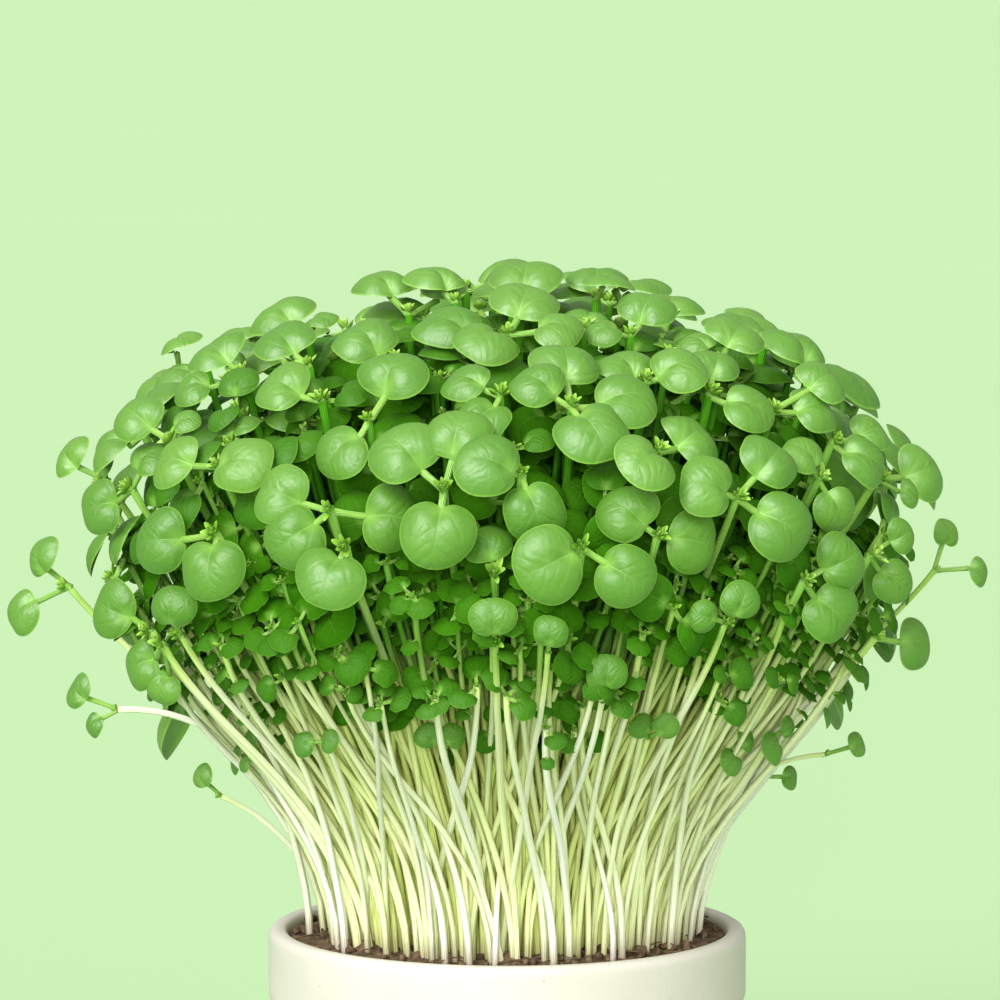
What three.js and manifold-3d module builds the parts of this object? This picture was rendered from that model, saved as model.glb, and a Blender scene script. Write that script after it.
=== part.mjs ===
// Basil microgreens growing in a plain round pot of soil, at their real size.
//
// Millimetres, +Z up, the origin in the middle of the pot's flat underside. The front of the clump faces -Y.
// Every seedling is one bent stem with its leaves and bud. Seedlings that share one small root ball are one
// tuft, and each root ball stands in a plain hole in the soil.

import * as THREE from 'three';
import Module from 'manifold-3d';
import { mergeVertices } from 'three/addons/utils/BufferGeometryUtils.js';

const wasm = await Module();
wasm.setup();

// Pot and soil
const POT_HEIGHT = 48;
const RIM_RADIUS = 30;
const RIM_BAND = 9;
const RIM_STEP = 1.4;
const FOOT_RADIUS = 21;
const POT_WALL = 2.4;
const POT_FLOOR = 3;
const EDGE_ROUNDING = 0.6;
const POT_SIDES = 32;
const DRAIN_HOLES = 4;
const DRAIN_RADIUS = 2;
const DRAIN_CIRCLE = 12;
const DRAIN_SIDES = 12;
const SOIL_TOP = 47;
const FIT_GAP = 0.3;

// Root balls, on a sunflower spiral in the soil
const TUFT_PLACES = 37;
const TUFT_SPREAD = 22.9;
const ROOT_RADIUS = 2.5;
const ROOT_FOOT_RADIUS = 1.75;
const ROOT_DEPTH = 9;
const ROOT_RISE = 0.4;
const ROOT_SIDES = 5;
const STEM_CIRCLE = 1.25;
const GOLDEN_ANGLE = Math.PI * (3 - Math.sqrt(5));

// Stems
const STEM_RADIUS = 0.72;
const STEM_SIDES = 3;
const STEM_STEPS = 3;
const STEM_START = 0.02;
const STEM_UPRIGHT = 0.45;
const STEM_LEAN = 0.03;
const STEM_OUT = 0.5;
const STEM_REACH = 0.7;
const STEM_SWEEP = 0.35;
const CLUMP_FOOT = 25;
const WIDEST_POLAR = THREE.MathUtils.degToRad(120);

// Canopy: the surface through the middles of the leaves, heights above the soil
const CANOPY_RADIUS = 52;
const CANOPY_HALF_HEIGHT = 32;
const CANOPY_CENTRE = 50;
const CANOPY_POWER = 2.3;
const FLARE_RADIUS = 25.6;
const FLARE_GROWTH = 0.0155;

// Leaves
const LEAF_LENGTH_SHARE = 0.9;
const LEAF_THICKNESS = 1.1;
const LEAF_CUP = 0.3;
const LEAF_MIN_UP = 0.25;
const LEAF_MOST_DEPTH = 0.6;
const LEAF_SPOKE = 0.62;
const LEAF_RAISED = 1.92;
const LEAF_TURN_VARIES = 0.35;
const LEAF_SIZE_VARIES = 0.08;
const LEAF_TILT_VARIES = [0.14, 0.14, 0.06];
const LEAF_TURNS = [0, Math.PI, Math.PI / 2];
const CROWN_LEVEL = 0.5;
const TURN_TO_VIEWER = 0.4;
const STALK_SHORTEST = 0.4;
const STALK_PAST = 1;
const SPARE_LEAF_SHARE = 0.85;
const THIRD_LEAF_SHARE = 0.75;
const SMALL_LEAF = 5.4;
const MIDDLE_LEAF = 7.9;
const RIM = [-152, -104, -52, 0, 52, 104, 152];
const MIDDLE_RIM = [-150, -95, -32, 32, 95, 150];
const SMALL_RIM = [-145, -72, 0, 72, 145];
const BUD_CLEAR = 0.1;
const BUD_RADIUS = 1.1;
const SLIVER = 0.02;
const JUNCTION_SUNK = 2.4;

// Clearance between seedlings
const LEAF_GAP = 2;
const STEM_GAP = 1.55;
const STALK_SAMPLE = 1.5;
const BLADE_SAMPLES = [[0.92, 10, 0], [0.5, 5, 0.05]];
const STEM_SAMPLES = 36;
const STEM_SAMPLES_IN_SOIL = 5;
const CELL = 3;
const DEPTHS = [0, -1.3, 1.5, 3, 4.5, 6, 7.5, 9, 12, 15];
const PITCHES = [0, 12, -12, 24, 36, -20].map(THREE.MathUtils.degToRad);
const SHRINKS = [1, 0.88, 0.76];

// The viewpoint of the picture, in which the front seedlings are placed by their pixels
const PICTURE_MIDDLE = 500;
const PIXELS_PER_MM = 8;
const EYE_DISTANCE = 800;
const SEARCH_DEPTH = 75;
const EYE_ELEVATION = THREE.MathUtils.degToRad(6);
const AIM = new THREE.Vector3(-0.9, 0, 54.9);
const EYE_RIGHT = new THREE.Vector3(1, 0, 0);
const EYE_UP = new THREE.Vector3(0, Math.sin(EYE_ELEVATION), Math.cos(EYE_ELEVATION));
const EYE = AIM.clone().addScaledVector(EYE_UP.clone().cross(EYE_RIGHT), -EYE_DISTANCE);

// Seedlings that the picture shows, nearest first: the pixel where the leaves meet, and for each leaf the
// pixel of its middle and its width in pixels. A low reach with a long sweep is a stem that ends level.
const FRONT_SEEDLINGS = [
  { at: [441, 483], leaves: [[402, 446, 74], [458, 428, 70], [437, 533, 78]] },
  { at: [585, 545], leaves: [[555, 561, 78], [627, 576, 68]] },
  { at: [748, 492], leaves: [[773, 455, 66], [708, 483, 66], [786, 526, 74]] },
  { at: [574, 393], leaves: [[591, 424, 80], [566, 356, 72], [536, 379, 60], [628, 395, 76]] },
  { at: [203, 531], leaves: [[209, 565, 73], [156, 540, 68]] },
  { at: [322, 507], leaves: [[292, 538, 70], [279, 493, 64], [379, 510, 69]] },
  { at: [338, 545], leaves: [[331, 580, 74]] },
  { at: [522, 466], leaves: [[531, 491, 66], [497, 464, 72]] },
  { at: [664, 441], leaves: [[642, 464, 68], [708, 420, 73]] },
  { at: [665, 533], leaves: [[698, 540, 66], [634, 510, 66]] },
  { at: [363, 408], leaves: [[392, 366, 74], [338, 437, 64]] },
  { at: [207, 458], leaves: [[171, 459, 64], [241, 460, 67]] },
  { at: [315, 386], leaves: [[280, 383, 66]] },
  { at: [500, 381], leaves: [[489, 398, 58], [465, 373, 57]] },
  { at: [508, 317], leaves: [[485, 336, 70], [526, 294, 77], [560, 325, 60]] },
  { at: [650, 366], leaves: [[683, 368, 62], [627, 349, 62]] },
  { at: [716, 380], leaves: [[752, 400, 66], [717, 359, 55]] },
  { at: [782, 397], leaves: [[818, 405, 60], [825, 377, 58]] },
  { at: [846, 432], leaves: [[868, 458, 58], [873, 430, 48]] },
  { at: [893, 472], leaves: [[928, 470, 64], [912, 493, 32]] },
  { at: [818, 578], leaves: [[834, 612, 64], [845, 560, 60]] },
  { at: [833, 472], leaves: [[844, 504, 54], [811, 452, 50]] },
  { at: [736, 620], leaves: [[741, 603, 43], [704, 616, 34]] },
  { at: [722, 346], leaves: [[738, 330, 66], [700, 337, 40]] },
  { at: [633, 318], leaves: [[648, 301, 62], [607, 324, 42]] },
  { at: [672, 338], leaves: [[684, 330, 46]] },
  { at: [587, 312], leaves: [[592, 299, 50]] },
  { at: [520, 296], leaves: [[526, 270, 76]] },
  { at: [407, 296], leaves: [[380, 277, 66], [444, 284, 50]] },
  { at: [392, 345], leaves: [[364, 333, 70]] },
  { at: [479, 322], leaves: [[447, 320, 74]] },
  { at: [303, 318], leaves: [[278, 307, 72], [322, 319, 36]] },
  { at: [303, 350], leaves: [[282, 336, 66]] },
  { at: [236, 360], leaves: [[214, 347, 68], [189, 386, 50]] },
  { at: [158, 432], leaves: [[139, 417, 62], [183, 417, 44]] },
  { at: [221, 436], leaves: [[227, 414, 50]] },
  { at: [88, 476], leaves: [[68, 458, 52], [104, 464, 28]] },
  { at: [114, 484], leaves: [[96, 507, 60], [132, 456, 50]] },
  { at: [134, 628], leaves: [[109, 608, 62]] },
  { at: [146, 641], leaves: [[128, 664, 54], [161, 688, 40]] },
  { at: [165, 632], leaves: [[171, 606, 48]] },
  { at: [887, 552], leaves: [[903, 535, 38], [896, 582, 50]] },
  { at: [494, 572], leaves: [[490, 548, 50]] },
  { at: [494, 640], leaves: [[493, 618, 46]] },
  { at: [953, 566], leaves: [[981, 571, 36], [948, 532, 36]], reach: 0.5 },
  { at: [893, 634], leaves: [[920, 643, 56]], reach: 0.5 },
  { at: [50, 582], leaves: [[38, 558, 50], [19, 612, 50]], reach: 0.5 },
  { at: [100, 705], leaves: [[77, 692, 40], [92, 725, 30]], reach: -0.15, sweep: 0.6 },
  { at: [608, 694], leaves: [[607, 676, 42]] },
  { at: [550, 650], leaves: [[550, 635, 36]] },
  { at: [440, 748], leaves: [[427, 735, 28], [453, 735, 28]] },
  { at: [657, 736], leaves: [[644, 728, 28], [669, 722, 28]] },
  { at: [203, 792], leaves: [[201, 775, 30]], reach: 0.1, sweep: 0.5 },
  { at: [843, 750], leaves: [[858, 744, 28]], reach: -0.1, sweep: 0.6 },
  { at: [778, 772], leaves: [[791, 778, 26]], reach: 0, sweep: 0.5 },
];

// Seedlings of the sides and the back, where the picture doesn't reach, and the low ones all round
const BACK_PLACES = 120;
const BACK_LOWEST_POLAR = THREE.MathUtils.degToRad(112);
const FRONT_COVERED_Y = -16;
const FRONT_COVERED_X = 46;
const BACK_LEAF_WIDTH = 8.6;
const BACK_LEAF_VARIES = 1.6;
const BACK_EXTRA_LEAF_CHANCE = 0.15;
const BACK_POLAR_VARIES = 0.05;
const AZIMUTH_VARIES = 0.08;
const LOW_PLACES = 22;
const LOW_HEIGHTS = [24, 36];
const LOW_LEAF_WIDTH = 3.6;
const LOW_LEAF_VARIES = 1.2;

const UP = new THREE.Vector3(0, 0, 1);
const vector = (x, y, z) => new THREE.Vector3(x, y, z);
const mix = (a, b, t) => a.clone().lerp(b, t);

function randomSource(seed) {
  let state = seed;
  return () => {
    state = (state * 1664525 + 1013904223) % 4294967296;
    return state / 4294967296;
  };
}
const random = randomSource(20);
const around = (spread) => (random() * 2 - 1) * spread;

// How far outside the clump a point is: under 0 within both the canopy and the flare of the stems
function outside(p) {
  const r = Math.hypot(p.x, p.y);
  const height = Math.abs(p.z - CANOPY_CENTRE) / CANOPY_HALF_HEIGHT;
  const dome = (r / CANOPY_RADIUS) ** CANOPY_POWER + height ** CANOPY_POWER - 1;
  const flare = r / (FLARE_RADIUS + FLARE_GROWTH * p.z * p.z) - 1;
  return Math.max(dome, flare);
}

// The canopy's outward direction at a point, never facing down
function outward(p) {
  const r = Math.hypot(p.x, p.y);
  const rise = p.z - CANOPY_CENTRE;
  const level = (r / CANOPY_RADIUS) ** (CANOPY_POWER - 1) / CANOPY_RADIUS;
  const steep = Math.max(rise, 0) / CANOPY_HALF_HEIGHT;
  const up = steep ** (CANOPY_POWER - 1) / CANOPY_HALF_HEIGHT;
  const share = level / Math.hypot(level, up);
  const n = r > 0 ? vector((p.x / r) * share, (p.y / r) * share, 0) : vector(0, 0, 0);
  n.z = Math.max(up / Math.hypot(level, up), LEAF_MIN_UP);
  return n.normalize();
}

// The point on the front of the clump behind a pixel, or level with the middle of the pot beside the clump
function seenAt(px, py) {
  const rise = (PICTURE_MIDDLE - py) / PIXELS_PER_MM;
  const aimed = AIM.clone().addScaledVector(EYE_RIGHT, (px - PICTURE_MIDDLE) / PIXELS_PER_MM);
  const ray = aimed.addScaledVector(EYE_UP, rise).sub(EYE).normalize();
  const along = (t) => EYE.clone().addScaledVector(ray, t);
  const last = -EYE.y / ray.y;
  let far = last - SEARCH_DEPTH;
  while (far < last && outside(along(far)) > 0) far += 1;
  if (far >= last) return along(last);
  let near = far - 1;
  for (let i = 0; i < 30; i++) {
    const middle = (near + far) / 2;
    if (outside(along(middle)) > 0) near = middle;
    else far = middle;
  }
  return along(far);
}

// The middle of a leaf behind a pixel, kept within reach of the junction
function seenNear(px, py, junction, width) {
  const centre = seenAt(px, py);
  const ray = centre.clone().sub(EYE).normalize();
  const depth = centre.clone().sub(junction).dot(ray);
  const most = width * LEAF_MOST_DEPTH;
  return centre.addScaledVector(ray, THREE.MathUtils.clamp(depth, -most, most) - depth);
}

// A leaf from the point where it joins its seedling: its middle, its axes and its half sizes
function makeLeaf(junction, centre, width, facing) {
  const normal = outward(centre).addScaledVector(vector(0, -1, 0), facing);
  if (centre.y > 0) normal.addScaledVector(UP, CROWN_LEVEL * Math.max(normal.z, 0));
  normal.add(vector(...LEAF_TILT_VARIES.map(around))).normalize();
  const along = centre.clone().sub(junction);
  along.addScaledVector(normal, -along.dot(normal)).normalize();
  const across = normal.clone().cross(along);
  const halfLength = (width * LEAF_LENGTH_SHARE) / 2;
  const nearest = halfLength + STALK_SHORTEST;
  const reach = centre.clone().sub(junction).dot(along);
  if (reach < nearest) centre = centre.clone().addScaledVector(along, nearest - reach);
  return { centre, along, across, normal, halfLength, halfWidth: width / 2 };
}

// A seedling of the picture. One with a single leaf has room kept for a smaller one opposite
function frontSeedling({ at, leaves, reach = STEM_REACH, sweep = STEM_SWEEP }) {
  const surface = seenAt(...at);
  const n = outward(surface);
  const junction = surface.clone().addScaledVector(n, -JUNCTION_SUNK);
  const made = leaves.map(([px, py, width]) => {
    const size = width / PIXELS_PER_MM;
    return makeLeaf(junction, seenNear(px, py, junction, size), size, TURN_TO_VIEWER);
  });
  const spare = [];
  if (made.length === 1) {
    const first = made[0];
    const centre = junction.clone().multiplyScalar(2).sub(first.centre);
    centre.addScaledVector(n, 2 * first.centre.clone().sub(junction).dot(n));
    spare.push(makeLeaf(junction, centre, first.halfWidth * 2 * SPARE_LEAF_SHARE, TURN_TO_VIEWER));
  }
  return { junction, leaves: made, spare, reach, sweep, inward: junction.clone().sub(EYE).normalize() };
}

// A seedling with leaves opposite each other, and at times a third one
function openSeedling(surface, width) {
  const n = outward(surface);
  const junction = surface.clone().addScaledVector(n, -JUNCTION_SUNK);
  const turn = random() * Math.PI * 2;
  const count = random() < BACK_EXTRA_LEAF_CHANCE ? 3 : 2;
  const level = vector(-n.y, n.x, 0);
  if (level.length() < 0.01) level.set(1, 0, 0);
  level.normalize();
  const steep = n.clone().cross(level);
  const leaves = [];
  for (let i = 0; i < count; i++) {
    const angle = turn + LEAF_TURNS[i] + around(LEAF_TURN_VARIES);
    const size = width * (i < 2 ? 1 : THIRD_LEAF_SHARE) * (1 + around(LEAF_SIZE_VARIES));
    const way = level.clone().multiplyScalar(Math.cos(angle)).addScaledVector(steep, Math.sin(angle));
    const centre = junction.clone().addScaledVector(way, size * LEAF_SPOKE).addScaledVector(n, LEAF_RAISED);
    leaves.push(makeLeaf(junction, centre, size, 0));
  }
  return { junction, leaves, spare: [], reach: STEM_REACH, sweep: STEM_SWEEP, inward: n.negate() };
}

function backSeedlings() {
  const made = [];
  const lowest = Math.cos(BACK_LOWEST_POLAR);
  for (let i = 0; i < BACK_PLACES; i++) {
    const level = 1 - ((i + 0.5) / BACK_PLACES) * (1 - lowest);
    const polar = Math.acos(level) + around(BACK_POLAR_VARIES);
    const azimuth = i * GOLDEN_ANGLE + around(AZIMUTH_VARIES);
    const r = Math.sin(polar);
    const z = Math.cos(polar);
    const scale = (Math.abs(r / CANOPY_RADIUS) ** CANOPY_POWER
      + Math.abs(z / CANOPY_HALF_HEIGHT) ** CANOPY_POWER) ** (-1 / CANOPY_POWER);
    const p = vector(Math.cos(azimuth) * r, Math.sin(azimuth) * r, z).multiplyScalar(scale);
    p.z += CANOPY_CENTRE;
    if (p.y < FRONT_COVERED_Y && Math.abs(p.x) < FRONT_COVERED_X) continue;
    made.push(openSeedling(p, BACK_LEAF_WIDTH + around(BACK_LEAF_VARIES)));
  }
  return made;
}

function lowSeedlings() {
  const made = [];
  for (let i = 0; i < LOW_PLACES; i++) {
    const azimuth = ((i + 0.5) / LOW_PLACES) * Math.PI * 2 + around(AZIMUTH_VARIES);
    const z = LOW_HEIGHTS[0] + random() * (LOW_HEIGHTS[1] - LOW_HEIGHTS[0]);
    const r = FLARE_RADIUS + FLARE_GROWTH * z * z;
    const p = vector(Math.cos(azimuth) * r, Math.sin(azimuth) * r, z);
    made.push(openSeedling(p, LOW_LEAF_WIDTH + around(LOW_LEAF_VARIES)));
  }
  return made;
}

// The stem's curve, from the soil to the point where the leaves meet
function stemCurve(junction, reach, sweep) {
  const fromCentre = junction.clone().sub(vector(0, 0, CANOPY_CENTRE));
  const level = Math.hypot(junction.x, junction.y);
  const polar = Math.min(Math.atan2(level, fromCentre.z), WIDEST_POLAR);
  const r = (CLUMP_FOOT * Math.sin(polar / 2)) / Math.sin(WIDEST_POLAR / 2);
  const side = vector(junction.x / level, junction.y / level, 0);
  const foot = side.clone().multiplyScalar(r).setZ(STEM_START);
  const rise = junction.z;
  const arrival = outward(junction).multiplyScalar(STEM_OUT).addScaledVector(UP, reach).normalize();
  const low = foot.clone().addScaledVector(UP, rise * STEM_UPRIGHT).addScaledVector(side, rise * STEM_LEAN);
  const high = junction.clone().addScaledVector(arrival, -rise * sweep);
  return new THREE.CubicBezierCurve3(foot, low, high, junction.clone());
}

// Points taken so far, in a grid of cells, so that a new leaf or stem can be tested against them
const taken = new Map();
const cellOf = (v) => Math.floor(v / CELL);
function take(points, gap) {
  for (const p of points) {
    const key = [cellOf(p.x), cellOf(p.y), cellOf(p.z)].join();
    if (!taken.has(key)) taken.set(key, []);
    taken.get(key).push([p, gap]);
  }
}
function isClear(points, gap) {
  for (const p of points) {
    const [i, j, k] = [cellOf(p.x), cellOf(p.y), cellOf(p.z)];
    for (let n = 0; n < 27; n++) {
      const near = [i + (n % 3) - 1, j + (Math.floor(n / 3) % 3) - 1, k + Math.floor(n / 9) - 1];
      for (const [q, other] of taken.get(near.join()) ?? []) {
        if (p.distanceTo(q) < Math.min(gap, other)) return false;
      }
    }
  }
  return true;
}

function leafPoint(leaf, angle, share) {
  return leaf.centre.clone()
    .addScaledVector(leaf.along, Math.cos(angle) * share * leaf.halfLength)
    .addScaledVector(leaf.across, Math.sin(angle) * share * leaf.halfWidth);
}

function leafSamples(leaf, junction) {
  const points = [leaf.centre.clone()];
  for (const [share, count, start] of BLADE_SAMPLES) {
    for (let i = 0; i < count; i++) points.push(leafPoint(leaf, (i / count + start) * Math.PI * 2, share));
  }
  const nearEnd = leafPoint(leaf, Math.PI, 1);
  const steps = Math.ceil(junction.distanceTo(nearEnd) / STALK_SAMPLE);
  for (let i = 0; i < steps; i++) points.push(mix(nearEnd, junction, i / steps));
  return points;
}

function stemSamples(curve) {
  return curve.getPoints(STEM_SAMPLES).slice(STEM_SAMPLES_IN_SOIL);
}

// A leaf moved with its junction, pitched about it and made smaller
function adjusted(leaf, junction, shift, pitch, shrink) {
  const turn = new THREE.Quaternion().setFromAxisAngle(leaf.across, pitch);
  const spoke = leaf.centre.clone().sub(junction);
  spoke.addScaledVector(leaf.along, -leaf.halfLength * (1 - shrink));
  return {
    centre: junction.clone().add(shift).add(spoke.applyQuaternion(turn)),
    along: leaf.along.clone().applyQuaternion(turn),
    across: leaf.across.clone(),
    normal: leaf.normal.clone().applyQuaternion(turn),
    halfLength: leaf.halfLength * shrink,
    halfWidth: leaf.halfWidth * shrink,
  };
}

function firstClear(leaf, junction, shift) {
  const moved = junction.clone().add(shift);
  for (const shrink of SHRINKS) {
    for (const pitch of PITCHES) {
      const tried = adjusted(leaf, junction, shift, pitch, shrink);
      if (isClear(leafSamples(tried, moved), LEAF_GAP)) return tried;
    }
  }
  return null;
}

// Sinks a seedling into the canopy until its leaves and its stem pass clear of those already placed
function placeClear(seedling) {
  let best = null;
  for (const depth of DEPTHS) {
    const shift = seedling.inward.clone().multiplyScalar(depth);
    const junction = seedling.junction.clone().add(shift);
    const curve = stemCurve(junction, seedling.reach, seedling.sweep);
    if (!isClear(stemSamples(curve), STEM_GAP)) continue;
    const leaves = seedling.leaves.map((leaf) => firstClear(leaf, seedling.junction, shift)).filter(Boolean);
    if (!best || leaves.length > best.leaves.length) best = { junction, leaves, curve, shift };
    if (leaves.length === seedling.leaves.length) break;
  }
  if (!best || !best.leaves.length) return null;
  for (const leaf of best.leaves) take(leafSamples(leaf, best.junction), LEAF_GAP);
  take(stemSamples(best.curve), STEM_GAP);
  return { ...seedling, ...best, start: seedling.junction };
}

function addSpareLeaves(seedling) {
  for (const leaf of seedling.spare) {
    const placed = firstClear(leaf, seedling.start, seedling.shift);
    if (!placed) continue;
    take(leafSamples(placed, seedling.junction), LEAF_GAP);
    seedling.leaves.push(placed);
  }
}

const wished = [...FRONT_SEEDLINGS.map(frontSeedling), ...backSeedlings(), ...lowSeedlings()];
const seedlings = wished.map(placeClear).filter(Boolean);
seedlings.forEach(addSpareLeaves);

// A closed geometry from its corners and triangles
function meshOf(corners, triangles) {
  const geometry = new THREE.BufferGeometry();
  geometry.setAttribute('position', new THREE.Float32BufferAttribute(corners.flatMap((p) => p.toArray()), 3));
  geometry.setIndex(triangles.flat());
  return geometry;
}

function solid(geometry) {
  const bare = geometry.clone();
  bare.deleteAttribute('normal');
  bare.deleteAttribute('uv');
  const merged = mergeVertices(bare, 1e-4);
  return new wasm.Manifold(new wasm.Mesh({
    numProp: 3,
    vertProperties: merged.attributes.position.array,
    triVerts: new Uint32Array(merged.index.array),
  }));
}

// The whole without slivers, or the small pockets that crossing stems close off inside it
function outerBody(whole) {
  return whole.simplify(SLIVER).decompose().reduce((a, b) => (b.volume() > a.volume() ? b : a));
}

function geometryOf(made) {
  const { numProp, vertProperties, triVerts, numVert } = made.getMesh();
  const corners = [];
  for (let i = 0; i < numVert; i++) corners.push(vector().fromArray(vertProperties, i * numProp));
  return meshOf(corners, [Array.from(triVerts)]);
}

// A prism along a line of points, with a flat cap at each end
function rod(points, radius, sides) {
  const frames = points.map((p, i) => {
    const [before, after] = [points[Math.max(i - 1, 0)], points[Math.min(i + 1, points.length - 1)]];
    const way = after.clone().sub(before).normalize();
    const x = vector(1, 0, 0).addScaledVector(way, -way.x).normalize();
    return [p, x, way.clone().cross(x)];
  });
  const corners = frames.flatMap(([p, x, y]) => Array.from({ length: sides }, (_, k) => {
    const angle = (k / sides) * Math.PI * 2;
    const ring = p.clone().addScaledVector(x, Math.cos(angle) * radius);
    return ring.addScaledVector(y, Math.sin(angle) * radius);
  }));
  const triangles = [];
  for (let i = 0; i + 1 < points.length; i++) {
    for (let k = 0; k < sides; k++) {
      const a = i * sides + k;
      const b = i * sides + ((k + 1) % sides);
      triangles.push([a, b, b + sides], [a, b + sides, a + sides]);
    }
  }
  const top = (points.length - 1) * sides;
  for (let k = 1; k + 1 < sides; k++) triangles.push([0, k + 1, k], [top, top + k, top + k + 1]);
  return meshOf(corners, triangles);
}

// The outline of a blade, cupped a little, with its crown above and its hollow underneath
function bladeCorners(leaf) {
  const width = leaf.halfWidth * 2;
  const outline = width < SMALL_LEAF ? SMALL_RIM : width < MIDDLE_LEAF ? MIDDLE_RIM : RIM;
  const rim = outline.map((degrees) => {
    const angle = THREE.MathUtils.degToRad(degrees);
    return leafPoint(leaf, angle, 1).addScaledVector(leaf.normal, -LEAF_CUP * leaf.halfWidth);
  });
  const crown = leaf.centre.clone().addScaledVector(leaf.normal, LEAF_THICKNESS / 2);
  const hollow = leaf.centre.clone().addScaledVector(leaf.normal, -LEAF_THICKNESS / 2);
  return [...rim, crown, hollow];
}

// The triangles of a blade whose corners start at the given index, and the four corners at its open base
function bladeFaces(count, start) {
  const last = start + count - 3;
  const [crown, hollow] = [last + 1, last + 2];
  const faces = [];
  for (let i = start; i < last; i++) faces.push([i, i + 1, crown], [i + 1, i, hollow]);
  return { faces, base: [crown, last, hollow, start] };
}

// One leaf, drawn out to a point just past the junction
function leafGeometry(leaf, junction) {
  const corners = bladeCorners(leaf);
  const { faces, base } = bladeFaces(corners.length, 0);
  const stalk = leaf.centre.clone().sub(junction).normalize();
  const tip = corners.push(junction.clone().addScaledVector(stalk, -STALK_PAST)) - 1;
  base.forEach((corner, i) => faces.push([corner, base[(i + 1) % 4], tip]));
  return meshOf(corners, faces);
}

const axisOf = (first, second) => first.along.clone().sub(second.along).normalize();

// Whether two leaves stand opposite each other, each with its whole base on its own side of the bud
function areOpposite(first, second, junction) {
  const axis = axisOf(first, second);
  return [[first, 1], [second, -1]].every(([leaf, way]) => {
    const corners = bladeCorners(leaf);
    const { base } = bladeFaces(corners.length, 0);
    return base.every((i) => corners[i].clone().sub(junction).dot(axis) * way > BUD_CLEAR);
  });
}

// Two leaves opposite each other, joined by a bud around the junction
function pairGeometry(first, second, junction) {
  const axis = axisOf(first, second);
  const top = first.normal.clone().add(second.normal);
  top.addScaledVector(axis, -top.dot(axis)).normalize();
  const side = top.clone().cross(axis);
  const bud = [top, side, top.clone().negate(), side.clone().negate()]
    .map((way) => junction.clone().addScaledVector(way, BUD_RADIUS));
  const [a, b] = [bladeCorners(first), bladeCorners(second)];
  const corners = [...a, ...b, ...bud];
  const one = bladeFaces(a.length, 0);
  const two = bladeFaces(b.length, a.length);
  const faces = [...one.faces, ...two.faces];
  const ring = bud.map((_, i) => a.length + b.length + i);
  const mirrored = [ring[0], ring[3], ring[2], ring[1]];
  for (const [base, end] of [[one.base, ring], [two.base, mirrored]]) {
    for (let i = 0; i < 4; i++) {
      const j = (i + 1) % 4;
      faces.push([base[i], base[j], end[j]], [base[i], end[j], end[i]]);
    }
  }
  return meshOf(corners, faces);
}

// The leaves of a seedling as solids: the two that stand most nearly opposite share one
function leafSolids({ leaves, junction }) {
  let pair = [];
  let widest = 1;
  leaves.forEach((a, i) => leaves.slice(i + 1).forEach((b) => {
    const opening = a.along.dot(b.along);
    if (opening < widest && areOpposite(a, b, junction)) [pair, widest] = [[a, b], opening];
  }));
  const others = leaves.filter((leaf) => !pair.includes(leaf));
  const geometries = others.map((leaf) => leafGeometry(leaf, junction));
  if (pair.length) geometries.push(pairGeometry(...pair, junction));
  return geometries.map((geometry) => solid(raise(geometry)));
}

// Where the tufts stand, and which seedlings grow from each
const tufts = Array.from({ length: TUFT_PLACES }, (_, i) => {
  const r = TUFT_SPREAD * Math.sqrt((i + 0.5) / TUFT_PLACES);
  return { centre: vector(Math.cos(i * GOLDEN_ANGLE) * r, Math.sin(i * GOLDEN_ANGLE) * r, 0), seedlings: [] };
});
for (const seedling of seedlings) {
  const foot = seedling.curve.v0.clone().setZ(0);
  const nearest = tufts.reduce((a, b) => (foot.distanceTo(b.centre) < foot.distanceTo(a.centre) ? b : a));
  nearest.seedlings.push(seedling);
}
const planted = tufts.filter((tuft) => tuft.seedlings.length);

// A tuft's root ball, or with a margin the hole that it stands in
function rootBall(centre, margin = 0) {
  const wider = margin / Math.cos(Math.PI / ROOT_SIDES);
  const height = ROOT_DEPTH + margin * 2;
  const ball = new THREE.CylinderGeometry(ROOT_RADIUS + wider, ROOT_FOOT_RADIUS + wider, height, ROOT_SIDES);
  return ball.rotateX(Math.PI / 2).translate(centre.x, centre.y, SOIL_TOP + ROOT_RISE - ROOT_DEPTH / 2);
}

function stemGeometry({ curve }, foot) {
  const points = curve.getPoints(STEM_STEPS);
  points[0].copy(foot).setZ(STEM_START);
  const raised = points.map((p) => p.clone().addScaledVector(UP, SOIL_TOP));
  return rod(raised, STEM_RADIUS, STEM_SIDES);
}

function raise(geometry) {
  return geometry.translate(0, 0, SOIL_TOP);
}

// The feet of a tuft's stems stand in a ring, in the order in which the stems fan out
function tuftSolid(tuft) {
  const pieces = [solid(rootBall(tuft.centre))];
  const angleOf = ({ junction }) => Math.atan2(junction.y - tuft.centre.y, junction.x - tuft.centre.x);
  const inOrder = [...tuft.seedlings].sort((a, b) => angleOf(a) - angleOf(b));
  const ring = inOrder.length > 1 ? STEM_CIRCLE : 0;
  inOrder.forEach((seedling, i) => {
    const angle = angleOf(inOrder[0]) + (i / inOrder.length) * Math.PI * 2;
    const foot = tuft.centre.clone().add(vector(Math.cos(angle) * ring, Math.sin(angle) * ring, 0));
    pieces.push(solid(stemGeometry(seedling, foot)), ...leafSolids(seedling));
  });
  return outerBody(pieces.reduce((whole, piece) => whole.add(piece)));
}

// A lathe's profile as points of radius and height
function lathe(profile) {
  const points = profile.map(([r, z]) => new THREE.Vector2(r, z));
  return new THREE.LatheGeometry(points, POT_SIDES).rotateX(Math.PI / 2);
}

const innerRadiusAt = (z) => FOOT_RADIUS - POT_WALL
  + ((RIM_RADIUS - RIM_STEP - FOOT_RADIUS) * z) / (POT_HEIGHT - RIM_BAND);

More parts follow.
